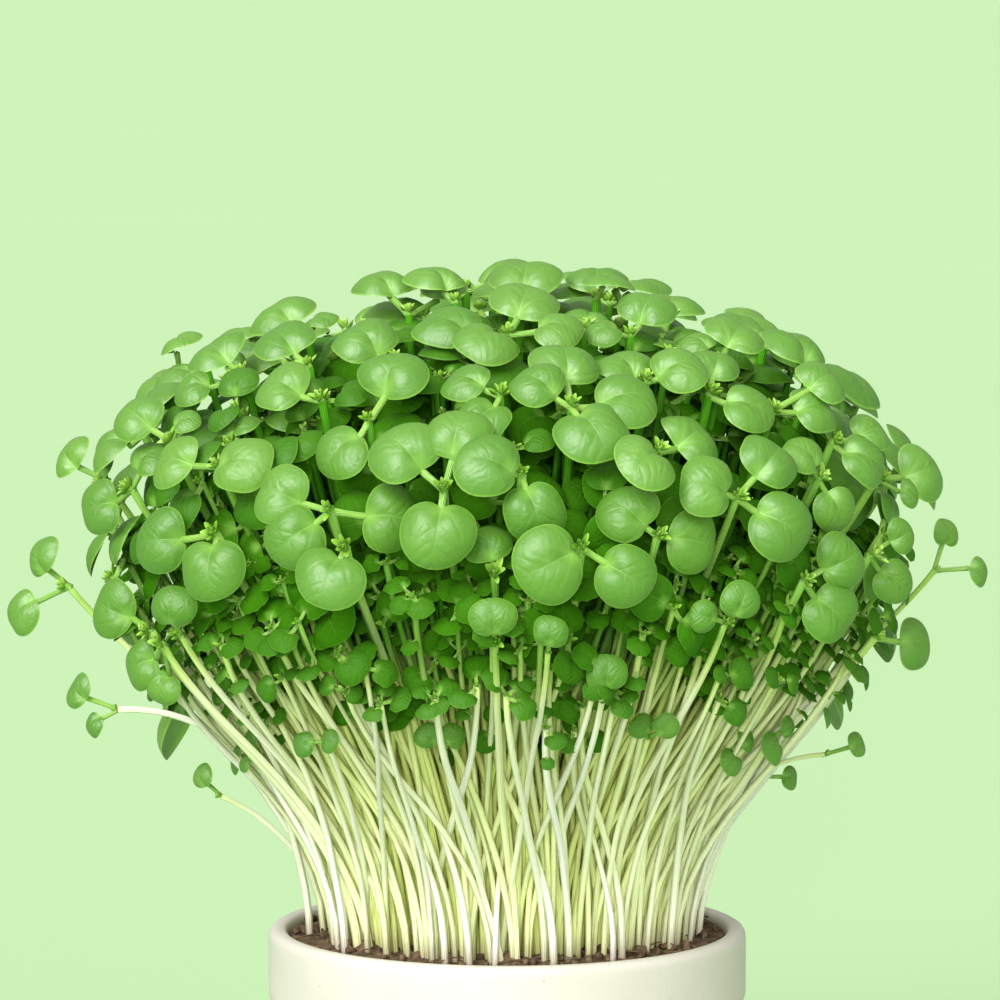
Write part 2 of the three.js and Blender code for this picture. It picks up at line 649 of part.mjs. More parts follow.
function potSolid() {
  const step = POT_HEIGHT - RIM_BAND;
  const shell = solid(lathe([
    [0, 0],
    [FOOT_RADIUS - EDGE_ROUNDING, 0],
    [FOOT_RADIUS, EDGE_ROUNDING],
    [RIM_RADIUS - RIM_STEP, step],
    [RIM_RADIUS, step + EDGE_ROUNDING],
    [RIM_RADIUS, POT_HEIGHT - EDGE_ROUNDING],
    [RIM_RADIUS - EDGE_ROUNDING, POT_HEIGHT],
    [RIM_RADIUS - POT_WALL, POT_HEIGHT],
    [innerRadiusAt(step), step],
    [innerRadiusAt(POT_FLOOR), POT_FLOOR],
    [0, POT_FLOOR],
  ]));
  const drain = new THREE.CylinderGeometry(DRAIN_RADIUS, DRAIN_RADIUS, POT_FLOOR * 3, DRAIN_SIDES);
  drain.rotateX(Math.PI / 2);
  return Array.from({ length: DRAIN_HOLES }, (_, i) => {
    const angle = ((i + 0.5) / DRAIN_HOLES) * Math.PI * 2;
    return solid(drain.clone().translate(Math.cos(angle) * DRAIN_CIRCLE, Math.sin(angle) * DRAIN_CIRCLE, 0));
  }).reduce((pot, hole) => pot.subtract(hole), shell);
}

function soilSolid() {
  const step = POT_HEIGHT - RIM_BAND;
  const bottom = POT_FLOOR + FIT_GAP;
  const body = solid(lathe([
    [0, bottom],
    [innerRadiusAt(bottom) - FIT_GAP, bottom],
    [innerRadiusAt(step) - FIT_GAP, step],
    [RIM_RADIUS - POT_WALL - FIT_GAP, SOIL_TOP],
    [0, SOIL_TOP],
  ]));
  return planted.reduce((soil, tuft) => soil.subtract(solid(rootBall(tuft.centre, FIT_GAP))), body);
}

const potClay = new THREE.MeshStandardMaterial({ color: 0xd9d2c6, roughness: 0.75, metalness: 0 });
const pottingSoil = new THREE.MeshStandardMaterial({ color: 0x4a3426, roughness: 0.95, metalness: 0 });
const basilGreen = new THREE.MeshStandardMaterial({ color: 0x76b04a, roughness: 0.45, metalness: 0 });

const plant = new THREE.Group();
function addPiece(name, made, material) {
  const mesh = new THREE.Mesh(geometryOf(made), material);
  mesh.name = name;
  plant.add(mesh);
}

addPiece('pot', potSolid(), potClay);
addPiece('soil', soilSolid(), pottingSoil);
planted.forEach((tuft, i) => {
  addPiece(`basil_tuft_${String(i + 1).padStart(2, '0')}`, tuftSolid(tuft), basilGreen);
});

export default plant;
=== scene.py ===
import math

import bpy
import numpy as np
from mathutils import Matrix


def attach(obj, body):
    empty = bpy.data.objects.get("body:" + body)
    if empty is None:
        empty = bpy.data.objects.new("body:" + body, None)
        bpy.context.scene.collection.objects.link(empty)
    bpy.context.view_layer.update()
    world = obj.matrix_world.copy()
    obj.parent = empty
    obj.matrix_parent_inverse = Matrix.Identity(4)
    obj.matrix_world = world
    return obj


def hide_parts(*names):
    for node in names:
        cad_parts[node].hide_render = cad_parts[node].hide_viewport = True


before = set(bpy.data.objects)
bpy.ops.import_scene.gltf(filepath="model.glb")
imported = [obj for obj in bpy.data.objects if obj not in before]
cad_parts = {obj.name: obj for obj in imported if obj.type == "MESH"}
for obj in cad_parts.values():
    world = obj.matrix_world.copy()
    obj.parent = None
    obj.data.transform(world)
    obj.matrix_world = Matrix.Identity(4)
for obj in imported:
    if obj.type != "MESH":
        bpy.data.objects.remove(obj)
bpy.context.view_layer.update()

# Basil microgreens in a plain pot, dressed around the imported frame.
#
# The seedlings are placed by the same rule as the solids, in millimetres above the soil, so that every finer
# stem and leaf lies where its tuft's node has it. Meshes are made in metres, in the frame's own axes.

# The solids' own numbers, in millimetres
POT_HEIGHT = 48
RIM_RADIUS = 30
RIM_BAND = 9
RIM_STEP = 1.4
FOOT_RADIUS = 21
POT_WALL = 2.4
POT_FLOOR = 3
EDGE_ROUNDING = 0.6
DRAIN_HOLES = 4
DRAIN_RADIUS = 2
DRAIN_CIRCLE = 12
DRAIN_SIDES = 32
DRILL_PAST = 2
POT_SIDES = 144
SOIL_GRID = (46, 150)
SOIL_CLEARANCE = 0.4
SOIL_CRUMBS = 620
SOIL_FIBRES = 130
SOIL_WAVES = ((5.0, 0.22), (2.2, 0.2), (1.1, 0.16), (0.6, 0.1))
OUTER_LIP = 1.0
INNER_LIP = 0.8
TURNING_LINES = ((0.05, 2.6, 0), (0.035, 5.3, 1))
SOIL_TOP = 47
TUFT_PLACES = 37
TUFT_SPREAD = 22.9
ROOT_RADIUS = 2.5
ROOT_FOOT_RADIUS = 1.75
ROOT_DEPTH = 9
ROOT_RISE = 0.4
STEM_CIRCLE = 1.25
GOLDEN_ANGLE = math.pi * (3 - math.sqrt(5))
STEM_START = 0.02
STEM_UPRIGHT = 0.45
STEM_LEAN = 0.03
STEM_OUT = 0.5
STEM_REACH = 0.7
STEM_SWEEP = 0.35
CLUMP_FOOT = 25
WIDEST_POLAR = math.radians(120)
CANOPY_RADIUS = 52
CANOPY_HALF_HEIGHT = 32
CANOPY_CENTRE = 50
CANOPY_POWER = 2.3
FLARE_RADIUS = 25.6
FLARE_GROWTH = 0.0155
LEAF_LENGTH_SHARE = 0.9
LEAF_CUP = 0.3
LEAF_MIN_UP = 0.25
LEAF_MOST_DEPTH = 0.6
LEAF_SPOKE = 0.62
LEAF_RAISED = 1.92
LEAF_TURN_VARIES = 0.35
LEAF_SIZE_VARIES = 0.08
LEAF_TILT_VARIES = (0.14, 0.14, 0.06)
LEAF_TURNS = (0, math.pi, math.pi / 2)
CROWN_LEVEL = 0.5
TURN_TO_VIEWER = 0.4
STALK_SHORTEST = 0.4
SPARE_LEAF_SHARE = 0.85
THIRD_LEAF_SHARE = 0.75
JUNCTION_SUNK = 2.4
LEAF_GAP = 2
STEM_GAP = 1.55
STALK_SAMPLE = 1.5
BLADE_SAMPLES = ((0.92, 10, 0), (0.5, 5, 0.05))
STEM_SAMPLES = 36
STEM_SAMPLES_IN_SOIL = 5
CELL = 3
DEPTHS = (0, -1.3, 1.5, 3, 4.5, 6, 7.5, 9, 12, 15)
PITCHES = tuple(math.radians(a) for a in (0, 12, -12, 24, 36, -20))
SHRINKS = (1, 0.88, 0.76)

# The viewpoint of the picture, heights above the soil
PICTURE_MIDDLE = 500
PIXELS_PER_MM = 8
EYE_DISTANCE = 800
SEARCH_DEPTH = 75
EYE_ELEVATION = math.radians(6)
AIM = (-0.9, 0.0, 54.9)

# Seedlings that the picture shows: the pixel where the leaves meet, each leaf's middle and width in pixels,
# and for a stem that ends level its reach and sweep
FRONT_SEEDLINGS = (
    ((441, 483), ((402, 446, 74), (458, 428, 70), (437, 533, 78))),
    ((585, 545), ((555, 561, 78), (627, 576, 68))),
    ((748, 492), ((773, 455, 66), (708, 483, 66), (786, 526, 74))),
    ((574, 393), ((591, 424, 80), (566, 356, 72), (536, 379, 60), (628, 395, 76))),
    ((203, 531), ((209, 565, 73), (156, 540, 68))),
    ((322, 507), ((292, 538, 70), (279, 493, 64), (379, 510, 69))),
    ((338, 545), ((331, 580, 74),)),
    ((522, 466), ((531, 491, 66), (497, 464, 72))),
    ((664, 441), ((642, 464, 68), (708, 420, 73))),
    ((665, 533), ((698, 540, 66), (634, 510, 66))),
    ((363, 408), ((392, 366, 74), (338, 437, 64))),
    ((207, 458), ((171, 459, 64), (241, 460, 67))),
    ((315, 386), ((280, 383, 66),)),
    ((500, 381), ((489, 398, 58), (465, 373, 57))),
    ((508, 317), ((485, 336, 70), (526, 294, 77), (560, 325, 60))),
    ((650, 366), ((683, 368, 62), (627, 349, 62))),
    ((716, 380), ((752, 400, 66), (717, 359, 55))),
    ((782, 397), ((818, 405, 60), (825, 377, 58))),
    ((846, 432), ((868, 458, 58), (873, 430, 48))),
    ((893, 472), ((928, 470, 64), (912, 493, 32))),
    ((818, 578), ((834, 612, 64), (845, 560, 60))),
    ((833, 472), ((844, 504, 54), (811, 452, 50))),
    ((736, 620), ((741, 603, 43), (704, 616, 34))),
    ((722, 346), ((738, 330, 66), (700, 337, 40))),
    ((633, 318), ((648, 301, 62), (607, 324, 42))),
    ((672, 338), ((684, 330, 46),)),
    ((587, 312), ((592, 299, 50),)),
    ((520, 296), ((526, 270, 76),)),
    ((407, 296), ((380, 277, 66), (444, 284, 50))),
    ((392, 345), ((364, 333, 70),)),
    ((479, 322), ((447, 320, 74),)),
    ((303, 318), ((278, 307, 72), (322, 319, 36))),
    ((303, 350), ((282, 336, 66),)),
    ((236, 360), ((214, 347, 68), (189, 386, 50))),
    ((158, 432), ((139, 417, 62), (183, 417, 44))),
    ((221, 436), ((227, 414, 50),)),
    ((88, 476), ((68, 458, 52), (104, 464, 28))),
    ((114, 484), ((96, 507, 60), (132, 456, 50))),
    ((134, 628), ((109, 608, 62),)),
    ((146, 641), ((128, 664, 54), (161, 688, 40))),
    ((165, 632), ((171, 606, 48),)),
    ((887, 552), ((903, 535, 38), (896, 582, 50))),
    ((494, 572), ((490, 548, 50),)),
    ((494, 640), ((493, 618, 46),)),
    ((953, 566), ((981, 571, 36), (948, 532, 36)), 0.5),
    ((893, 634), ((920, 643, 56),), 0.5),
    ((50, 582), ((38, 558, 50), (19, 612, 50)), 0.5),
    ((100, 705), ((77, 692, 40), (92, 725, 30)), -0.15, 0.6),
    ((608, 694), ((607, 676, 42),)),
    ((550, 650), ((550, 635, 36),)),
    ((440, 748), ((427, 735, 28), (453, 735, 28))),
    ((657, 736), ((644, 728, 28), (669, 722, 28))),
    ((203, 792), ((201, 775, 30),), 0.1, 0.5),
    ((843, 750), ((858, 744, 28),), -0.1, 0.6),
    ((778, 772), ((791, 778, 26),), 0, 0.5),
)

# Seedlings of the sides and the back, and the low ones all round
BACK_PLACES = 120
BACK_LOWEST_POLAR = math.radians(112)
FRONT_COVERED_Y = -16
FRONT_COVERED_X = 46
BACK_LEAF_WIDTH = 8.6
BACK_LEAF_VARIES = 1.6
BACK_EXTRA_LEAF_CHANCE = 0.15
BACK_POLAR_VARIES = 0.05
AZIMUTH_VARIES = 0.08
LOW_PLACES = 22
LOW_HEIGHTS = (24, 36)
LOW_LEAF_WIDTH = 3.6
LOW_LEAF_VARIES = 1.2

# What is added between the solids' seedlings: leaves deeper in the canopy, and the small ones under it
INNER_PLACES = 380
INNER_DEPTHS = (3.5, 14.0)
INNER_LEAF_WIDTH = 6.6
INNER_LEAF_VARIES = 1.5
INNER_LEAF_GAP = 0.9
INNER_LOW_SHARE = 0.5
INNER_SMALL_BELOW = 38
INNER_FULL_ABOVE = 52
INNER_LOWEST_POLAR = math.radians(110)
INNER_POLAR_VARIES = 0.06
INNER_AZIMUTH_VARIES = 0.1
INNER_SECOND_LEAF = (0.85, 1.0)
INNER_RAISED = 1.4
INNER_TILT = (0.25, 0.25, 0.12)
INNER_SINKS = (0, 1.5, 3, 5, 8)
UNDER_TRIES = 3400
UNDER_PLACES = 480
UNDER_HEIGHTS = (29, 52)
UNDER_RAGGED = 11
UNDER_SPREAD = (0.6, 1.0)
UNDER_LEAF_WIDTH = 3.9
UNDER_LEAF_VARIES = 0.9
UNDER_LEAF_GAP = 0.45
UNDER_LEVEL = 0.7
UNDER_AZIMUTH_VARIES = 0.15
UNDER_EDGE = 3
UNDER_LEAF_SHARES = (1, 0.94, 0.8, 0.75)
UNDER_RAISED = 0.7
UNDER_TILT = (0.35, 0.35, 0.3)
UNDER_SINKS = (0, 1.5, 3, 5)
UNDER_FOOT = (0.8, 1.02)
UNDER_REACH = (0.7, 1.4)
WHORL_LEVELS = (0.9, 0.8)
WHORL_LEAF_SHARE = 0.85
WHORL_LEAF_VARIES = (0.7, 1.0)
WHORL_UPWARDS = 0.3
WHORL_RAISED = 0.5
WHORL_TILT = (0.4, 0.4, 0.3)
ADDED_LEAF_TURNS = (0, math.pi, math.pi / 2, 3 * math.pi / 2)
ADDED_TURN_VARIES = 0.4
FULL_TURN = 6.28
ADDED_STEM_GAP = 0.58
ADDED_STEM_SWING = 0.4
ADDED_STEM_RADIUS = (0.34, 0.48)

# Finer forms
LEAF_LONG = (0.88, 0.98)
LEAF_WIDE = (0.91, 0.99)
LEAF_TOP = 0.34
LEAF_THICK = 0.42
LEAF_NOTCH = (0.07, 0.2)
LEAF_NOTCH_WIDTH = 0.22
LOBE_AT = 2.35
LOBE_WIDTH = 0.45
LOBE_BULGE = 0.06
TIP_WIDTH = 0.16
TIP_DRAWN_IN = 0.035
RIM_WAVES = (0.036, 0.026)
RIM_SQUARE = (-0.035, 0.012)
TOOTH_TURNS = (2.5, 3.5)
TYPICAL_HALF_WIDTH = 4.5
LEAF_DROOP = (1.05, 1.45)
MIDRIB_VALLEY = 0.16
LOBE_SWELL = 0.24
BLADE_WAVES = (0.035, 0.028)
LEAF_FOLD = (-0.02, 0.09)
LEAF_BEND = (-0.02, 0.1)
LEAF_THINS = 0.75
STALK_DIP = 0.4
STALK_SUNK = 0.3
ATTACHED_AT = -0.76
STEM_WAVES = ((0.2, 1.1), (0.05, 2.9))
STEM_UNEVEN = 0.05
STEM_FOOT = -0.6
STEM_NODE = 1.12
STEM_RIBS = 0.05
STEM_GREENS_BELOW_TIP = 15
STEM_GREENS_AT = (34, 46)
STEM_GREENS_WITHIN = 16
# stems within this share of the flare get painted glow and painted shade
DEEP_STEMS_WITHIN = (0.99, 0.2)
STEM_RADII = (0.56, 0.5)
FACED_SHARE = 0.5
RAISED_SHARE = 0.5
MOST_TURNED = 0.35
LEAST_FACED = 0.15
TURNS_UP_FROM = 54
TURNS_UP_WITHIN = 10
SHADE_FROM = 66
SHADE_WITHIN = 22
SHADE_AT_SURFACE = 0.1
SHADE_OF_DEPTH = 2.4
SHADE_OF_HEIGHT = 0.55
STALK_RADIUS = 0.15
STALK_RADIUS_OF_WIDTH = 0.065
WHORL_STALK_RADIUS = 0.2
TIP_UPWARDS = 0.25
LARGE_FROM = 2.6
TALLEST = 90
SHARPEST = math.radians(100)
POT_SHARPEST = math.radians(40)
QUARTERS = 4
MM_PER_M = 1000
UP = (0.0, 0.0, 1.0)


# Vectors are plain tuples, so that every sum is done in doubles, as the solids' are
def plus(a, b, times=1.0):
    return (a[0] + b[0] * times, a[1] + b[1] * times, a[2] + b[2] * times)


def minus(a, b):
    return (a[0] - b[0], a[1] - b[1], a[2] - b[2])


def scaled(a, by):
    return (a[0] * by, a[1] * by, a[2] * by)


def dot(a, b):
    return a[0] * b[0] + a[1] * b[1] + a[2] * b[2]


def cross(a, b):
    return (a[1] * b[2] - a[2] * b[1], a[2] * b[0] - a[0] * b[2], a[0] * b[1] - a[1] * b[0])


def size_of(a):
    return math.sqrt(dot(a, a))


def unit(a):
    return scaled(a, 1 / size_of(a))


def mixed(a, b, t):
    return plus(a, minus(b, a), t)


def clamped(value):
    """A number kept from 0 to 1."""
    return min(max(value, 0), 1)


def turned(v, axis, angle):
    c, s = math.cos(angle), math.sin(angle)
    return plus(plus(scaled(v, c), cross(axis, v), s), axis, dot(axis, v) * (1 - c))


class Draws:
    """The solids' own source of random numbers."""

    def __init__(self, seed):
        self.state = seed

    def next(self):
        self.state = (self.state * 1664525 + 1013904223) % 4294967296
        return self.state / 4294967296

    def around(self, spread):
        return (self.next() * 2 - 1) * spread


draws = Draws(20)
EYE_UP = (0.0, math.sin(EYE_ELEVATION), math.cos(EYE_ELEVATION))
EYE_RIGHT = (1.0, 0.0, 0.0)
EYE = plus(AIM, cross(EYE_UP, EYE_RIGHT), -EYE_DISTANCE)


def outside(p):
    """How far outside the clump a point is: under 0 within both the canopy and the flare of the stems."""
    r = math.hypot(p[0], p[1])
    height = abs(p[2] - CANOPY_CENTRE) / CANOPY_HALF_HEIGHT
    dome = (r / CANOPY_RADIUS) ** CANOPY_POWER + height ** CANOPY_POWER - 1
    flare = r / (FLARE_RADIUS + FLARE_GROWTH * p[2] * p[2]) - 1
    return max(dome, flare)


def outward(p):
    """The canopy's outward direction at a point, never facing down."""
    r = math.hypot(p[0], p[1])
    level = (r / CANOPY_RADIUS) ** (CANOPY_POWER - 1) / CANOPY_RADIUS
    steep = max(p[2] - CANOPY_CENTRE, 0) / CANOPY_HALF_HEIGHT
    up = steep ** (CANOPY_POWER - 1) / CANOPY_HALF_HEIGHT
    whole = math.hypot(level, up)
    share = level / whole
    side = ((p[0] / r) * share, (p[1] / r) * share) if r > 0 else (0.0, 0.0)
    return unit((side[0], side[1], max(up / whole, LEAF_MIN_UP)))


def seen_at(px, py):
    """The point on the front of the clump behind a pixel, or level with the pot's middle beside the clump."""
    aimed = plus(AIM, EYE_RIGHT, (px - PICTURE_MIDDLE) / PIXELS_PER_MM)
    aimed = plus(aimed, EYE_UP, (PICTURE_MIDDLE - py) / PIXELS_PER_MM)
    ray = unit(minus(aimed, EYE))
    last = -EYE[1] / ray[1]
    far = last - SEARCH_DEPTH
    while far < last and outside(plus(EYE, ray, far)) > 0:
        far += 1
    if far >= last:
        return plus(EYE, ray, last)
    near = far - 1
    for _ in range(30):
        middle = (near + far) / 2
        if outside(plus(EYE, ray, middle)) > 0:
            near = middle
        else:
            far = middle
    return plus(EYE, ray, far)


def seen_near(px, py, junction, width):
    """The middle of a leaf behind a pixel, kept within reach of the junction."""
    centre = seen_at(px, py)
    ray = unit(minus(centre, EYE))
    depth = dot(minus(centre, junction), ray)
    most = width * LEAF_MOST_DEPTH
    return plus(centre, ray, min(max(depth, -most), most) - depth)


def make_leaf(junction, centre, width, facing, tilt=None):
    """A leaf from the point where it joins its seedling: its middle, its axes and its half sizes."""
    normal = plus(outward(centre), (0.0, -1.0, 0.0), facing)
    if centre[1] > 0:
        normal = plus(normal, UP, CROWN_LEVEL * max(normal[2], 0))
    tilt = tilt or [draws.around(spread) for spread in LEAF_TILT_VARIES]
    normal = unit(plus(normal, tilt))
    along = minus(centre, junction)
    along = unit(plus(along, normal, -dot(along, normal)))
    half_length = (width * LEAF_LENGTH_SHARE) / 2
    nearest = half_length + STALK_SHORTEST
    reach = dot(minus(centre, junction), along)
    if reach < nearest:
        centre = plus(centre, along, nearest - reach)
    return {
        "centre": centre,
        "along": along,
        "across": cross(normal, along),
        "normal": normal,
        "half_length": half_length,
        "half_width": width / 2,
    }


def grown(junction, leaves, inward, spare=(), reach=STEM_REACH, sweep=STEM_SWEEP, **more):
    """A seedling, with what decides its stem: the foot's distance and turn, and the way it comes up."""
    common = {"junction": junction, "leaves": leaves, "inward": inward, "spare": spare, "reach": reach}
    return {**common, "sweep": sweep, "spread": CLUMP_FOOT, "swing": 0.0, "pictured": False, **more}


def front_seedling(at, leaves, reach=STEM_REACH, sweep=STEM_SWEEP):
    """A seedling of the picture. One with a single leaf has room kept for a smaller one opposite."""
    surface = seen_at(*at)
    n = outward(surface)
    junction = plus(surface, n, -JUNCTION_SUNK)
    made = []
    for px, py, width in leaves:
        size = width / PIXELS_PER_MM
        made.append(make_leaf(junction, seen_near(px, py, junction, size), size, TURN_TO_VIEWER))
    spare = []
    if len(made) == 1:
        first = made[0]
        centre = minus(scaled(junction, 2), first["centre"])
        centre = plus(centre, n, 2 * dot(minus(first["centre"], junction), n))
        width = first["half_width"] * 2 * SPARE_LEAF_SHARE
        spare.append(make_leaf(junction, centre, width, TURN_TO_VIEWER))
    inward = unit(minus(junction, EYE))
    return grown(junction, made, inward, spare, reach, sweep, pictured=True)


def ways_across(n):
    """Two ways across a normal, the first of them level."""
    level = (-n[1], n[0], 0.0)
    level = (1.0, 0.0, 0.0) if size_of(level) < 0.01 else unit(level)
    return level, cross(n, level)


def open_seedling(surface, width):
    """A seedling with leaves opposite each other, and at times a third one."""
    n = outward(surface)
    junction = plus(surface, n, -JUNCTION_SUNK)
    turn = draws.next() * math.pi * 2
    count = 3 if draws.next() < BACK_EXTRA_LEAF_CHANCE else 2
    level, steep = ways_across(n)
    leaves = []
    for i in range(count):
        angle = turn + LEAF_TURNS[i] + draws.around(LEAF_TURN_VARIES)
        size = width * (1 if i < 2 else THIRD_LEAF_SHARE) * (1 + draws.around(LEAF_SIZE_VARIES))
        way = plus(scaled(level, math.cos(angle)), steep, math.sin(angle))
        centre = plus(plus(junction, way, size * LEAF_SPOKE), n, LEAF_RAISED)
        leaves.append(make_leaf(junction, centre, size, 0))
    return grown(junction, leaves, scaled(n, -1))


def on_canopy(polar, azimuth):
    r, z = math.sin(polar), math.cos(polar)
    whole = abs(r / CANOPY_RADIUS) ** CANOPY_POWER + abs(z / CANOPY_HALF_HEIGHT) ** CANOPY_POWER
    scale = whole ** (-1 / CANOPY_POWER)
    return (math.cos(azimuth) * r * scale, math.sin(azimuth) * r * scale, z * scale + CANOPY_CENTRE)


def back_seedlings():
    made = []
    lowest = math.cos(BACK_LOWEST_POLAR)
    for i in range(BACK_PLACES):
        level = 1 - ((i + 0.5) / BACK_PLACES) * (1 - lowest)
        polar = math.acos(level) + draws.around(BACK_POLAR_VARIES)
        azimuth = i * GOLDEN_ANGLE + draws.around(AZIMUTH_VARIES)
        p = on_canopy(polar, azimuth)
        if p[1] < FRONT_COVERED_Y and abs(p[0]) < FRONT_COVERED_X:
            continue
        made.append(open_seedling(p, BACK_LEAF_WIDTH + draws.around(BACK_LEAF_VARIES)))
    return made


def low_seedlings():
    made = []
    for i in range(LOW_PLACES):
        azimuth = ((i + 0.5) / LOW_PLACES) * math.pi * 2 + draws.around(AZIMUTH_VARIES)
        z = LOW_HEIGHTS[0] + draws.next() * (LOW_HEIGHTS[1] - LOW_HEIGHTS[0])
        r = FLARE_RADIUS + FLARE_GROWTH * z * z
        p = (math.cos(azimuth) * r, math.sin(azimuth) * r, z)
        made.append(open_seedling(p, LOW_LEAF_WIDTH + draws.around(LOW_LEAF_VARIES)))
    return made


def stem_curve(junction, reach, sweep, spread=CLUMP_FOOT, swing=0.0):
    """The four control points of a stem, from the soil to the point where the leaves meet."""
    level = math.hypot(junction[0], junction[1])
    polar = min(math.atan2(level, junction[2] - CANOPY_CENTRE), WIDEST_POLAR)
    r = (spread * math.sin(polar / 2)) / math.sin(WIDEST_POLAR / 2)
    side = (junction[0] / level, junction[1] / level, 0.0)
    foot = plus(scaled(turned(side, UP, swing), r), UP, STEM_START)
    rise = junction[2]
    arrival = unit(plus(scaled(outward(junction), STEM_OUT), UP, reach))
    low = plus(plus(foot, UP, rise * STEM_UPRIGHT), side, rise * STEM_LEAN)
    return foot, low, plus(junction, arrival, -rise * sweep), junction


def curve_points(curve, steps):
    points = []
    for i in range(steps + 1):
        t = i / steps
        k = 1 - t
        shares = (k * k * k, 3 * k * k * t, 3 * k * t * t, t * t * t)
        points.append(tuple(sum(w * p[axis] for w, p in zip(shares, curve)) for axis in range(3)))
    return points


# Points taken so far, listed in every cell around their own, so that a new leaf or stem can be tested
taken = {}
NEARBY = [(i, j, k) for i in (-1, 0, 1) for j in (-1, 0, 1) for k in (-1, 0, 1)]


def cell_of(p):
    return (math.floor(p[0] / CELL), math.floor(p[1] / CELL), math.floor(p[2] / CELL))


def take(points, gap):
    for p in points:
        i, j, k = cell_of(p)
        for di, dj, dk in NEARBY:
            taken.setdefault((i + di, j + dj, k + dk), []).append((p[0], p[1], p[2], gap))


def is_clear(points, gap):
    for p in points:
        for x, y, z, other in taken.get(cell_of(p), ()):
            least = min(gap, other)
            if (p[0] - x) ** 2 + (p[1] - y) ** 2 + (p[2] - z) ** 2 < least * least:
                return False
    return True


def leaf_point(leaf, angle, share):
    p = plus(leaf["centre"], leaf["along"], math.cos(angle) * share * leaf["half_length"])
    return plus(p, leaf["across"], math.sin(angle) * share * leaf["half_width"])


def leaf_samples(leaf, junction):
    points = [leaf["centre"]]
    for share, count, start in BLADE_SAMPLES:
        points += [leaf_point(leaf, (i / count + start) * math.pi * 2, share) for i in range(count)]
    near_end = leaf_point(leaf, math.pi, 1)
    steps = math.ceil(size_of(minus(junction, near_end)) / STALK_SAMPLE)
    return points + [mixed(near_end, junction, i / steps) for i in range(steps)]


def stem_samples(curve):
    return curve_points(curve, STEM_SAMPLES)[STEM_SAMPLES_IN_SOIL:]


def adjusted(leaf, junction, shift, pitch, shrink):
    """A leaf moved with its junction, pitched about it and made smaller."""
    spoke = minus(leaf["centre"], junction)
    spoke = plus(spoke, leaf["along"], -leaf["half_length"] * (1 - shrink))
    return {
        "centre": plus(plus(junction, shift), turned(spoke, leaf["across"], pitch)),
        "along": turned(leaf["along"], leaf["across"], pitch),
        "across": leaf["across"],
        "normal": turned(leaf["normal"], leaf["across"], pitch),
        "half_length": leaf["half_length"] * shrink,
        "half_width": leaf["half_width"] * shrink,
    }


def first_clear(leaf, junction, shift, gap=LEAF_GAP):
    moved = plus(junction, shift)
    for shrink in SHRINKS:
        for pitch in PITCHES:
            tried = adjusted(leaf, junction, shift, pitch, shrink)
            if is_clear(leaf_samples(tried, moved), gap):
                return tried
    return None


def place_clear(seedling, depths=DEPTHS, leaf_gap=LEAF_GAP, stem_gap=STEM_GAP):
    """Sinks a seedling into the canopy until its leaves and its stem pass clear of those already placed."""
    best = None
    for depth in depths:
        shift = scaled(seedling["inward"], depth)
        junction = plus(seedling["junction"], shift)
        curve = stem_curve(junction, *(seedling[key] for key in ("reach", "sweep", "spread", "swing")))
        if not is_clear(stem_samples(curve), stem_gap):
            continue
        tried = [first_clear(leaf, seedling["junction"], shift, leaf_gap) for leaf in seedling["leaves"]]
        leaves = [leaf for leaf in tried if leaf]
        if not best or len(leaves) > len(best["leaves"]):
            best = {"junction": junction, "leaves": leaves, "curve": curve, "shift": shift}
        if len(leaves) == len(seedling["leaves"]):
            break
    if not best or not best["leaves"]:
        return None
    for leaf in best["leaves"]:
        take(leaf_samples(leaf, best["junction"]), leaf_gap)
    take(stem_samples(best["curve"]), stem_gap)
    return {**seedling, **best, "start": seedling["junction"]}


def add_spare_leaves(seedling):
    for leaf in seedling["spare"]:
        placed = first_clear(leaf, seedling["start"], seedling["shift"])
        if placed:
            take(leaf_samples(placed, seedling["junction"]), LEAF_GAP)
            seedling["leaves"].append(placed)


def place_solids_seedlings():
    wished = [front_seedling(*row) for row in FRONT_SEEDLINGS] + back_seedlings() + low_seedlings()
    placed = [s for s in map(place_clear, wished) if s]
    for seedling in placed:
        add_spare_leaves(seedling)
    return placed


def tufts_of(seedlings):
    """Which seedlings grow from each root ball, their feet in a ring in the order in which they fan out."""
    tufts = []
    for i in range(TUFT_PLACES):
        r = TUFT_SPREAD * math.sqrt((i + 0.5) / TUFT_PLACES)
        centre = (math.cos(i * GOLDEN_ANGLE) * r, math.sin(i * GOLDEN_ANGLE) * r, 0.0)
        tufts.append({"centre": centre, "seedlings": []})
    for seedling in seedlings:
        foot = (seedling["curve"][0][0], seedling["curve"][0][1], 0.0)
        nearest = min(tufts, key=lambda tuft: size_of(minus(foot, tuft["centre"])))
        nearest["seedlings"].append(seedling)
    planted = [tuft for tuft in tufts if tuft["seedlings"]]
    for tuft in planted:
        centre = tuft["centre"]

        def angle_of(seedling):
            return math.atan2(seedling["junction"][1] - centre[1], seedling["junction"][0] - centre[0])

        in_order = sorted(tuft["seedlings"], key=angle_of)
        ring = STEM_CIRCLE if len(in_order) > 1 else 0
        for i, seedling in enumerate(in_order):
            angle = angle_of(in_order[0]) + (i / len(in_order)) * math.pi * 2
            seedling["foot"] = plus(centre, (math.cos(angle) * ring, math.sin(angle) * ring, STEM_START))
    return planted


solids_seedlings = place_solids_seedlings()
tufts = tufts_of(solids_seedlings)
assert len(tufts) == len([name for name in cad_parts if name.startswith("basil_tuft_")])

# The leaves and stems that are added have random numbers of their own, and keep clear of the stems as planted
added = np.random.RandomState(5)
taken.clear()
for seedling in solids_seedlings:
    shift = minus(seedling["foot"], seedling["curve"][0])
    line = curve_points(seedling["curve"], STEM_SAMPLES)
    take([plus(p, shift, (1 - i / STEM_SAMPLES) ** 2) for i, p in enumerate(line)], STEM_GAP)
    for leaf in seedling["leaves"]:
        take(leaf_samples(leaf, seedling["junction"]), LEAF_GAP)


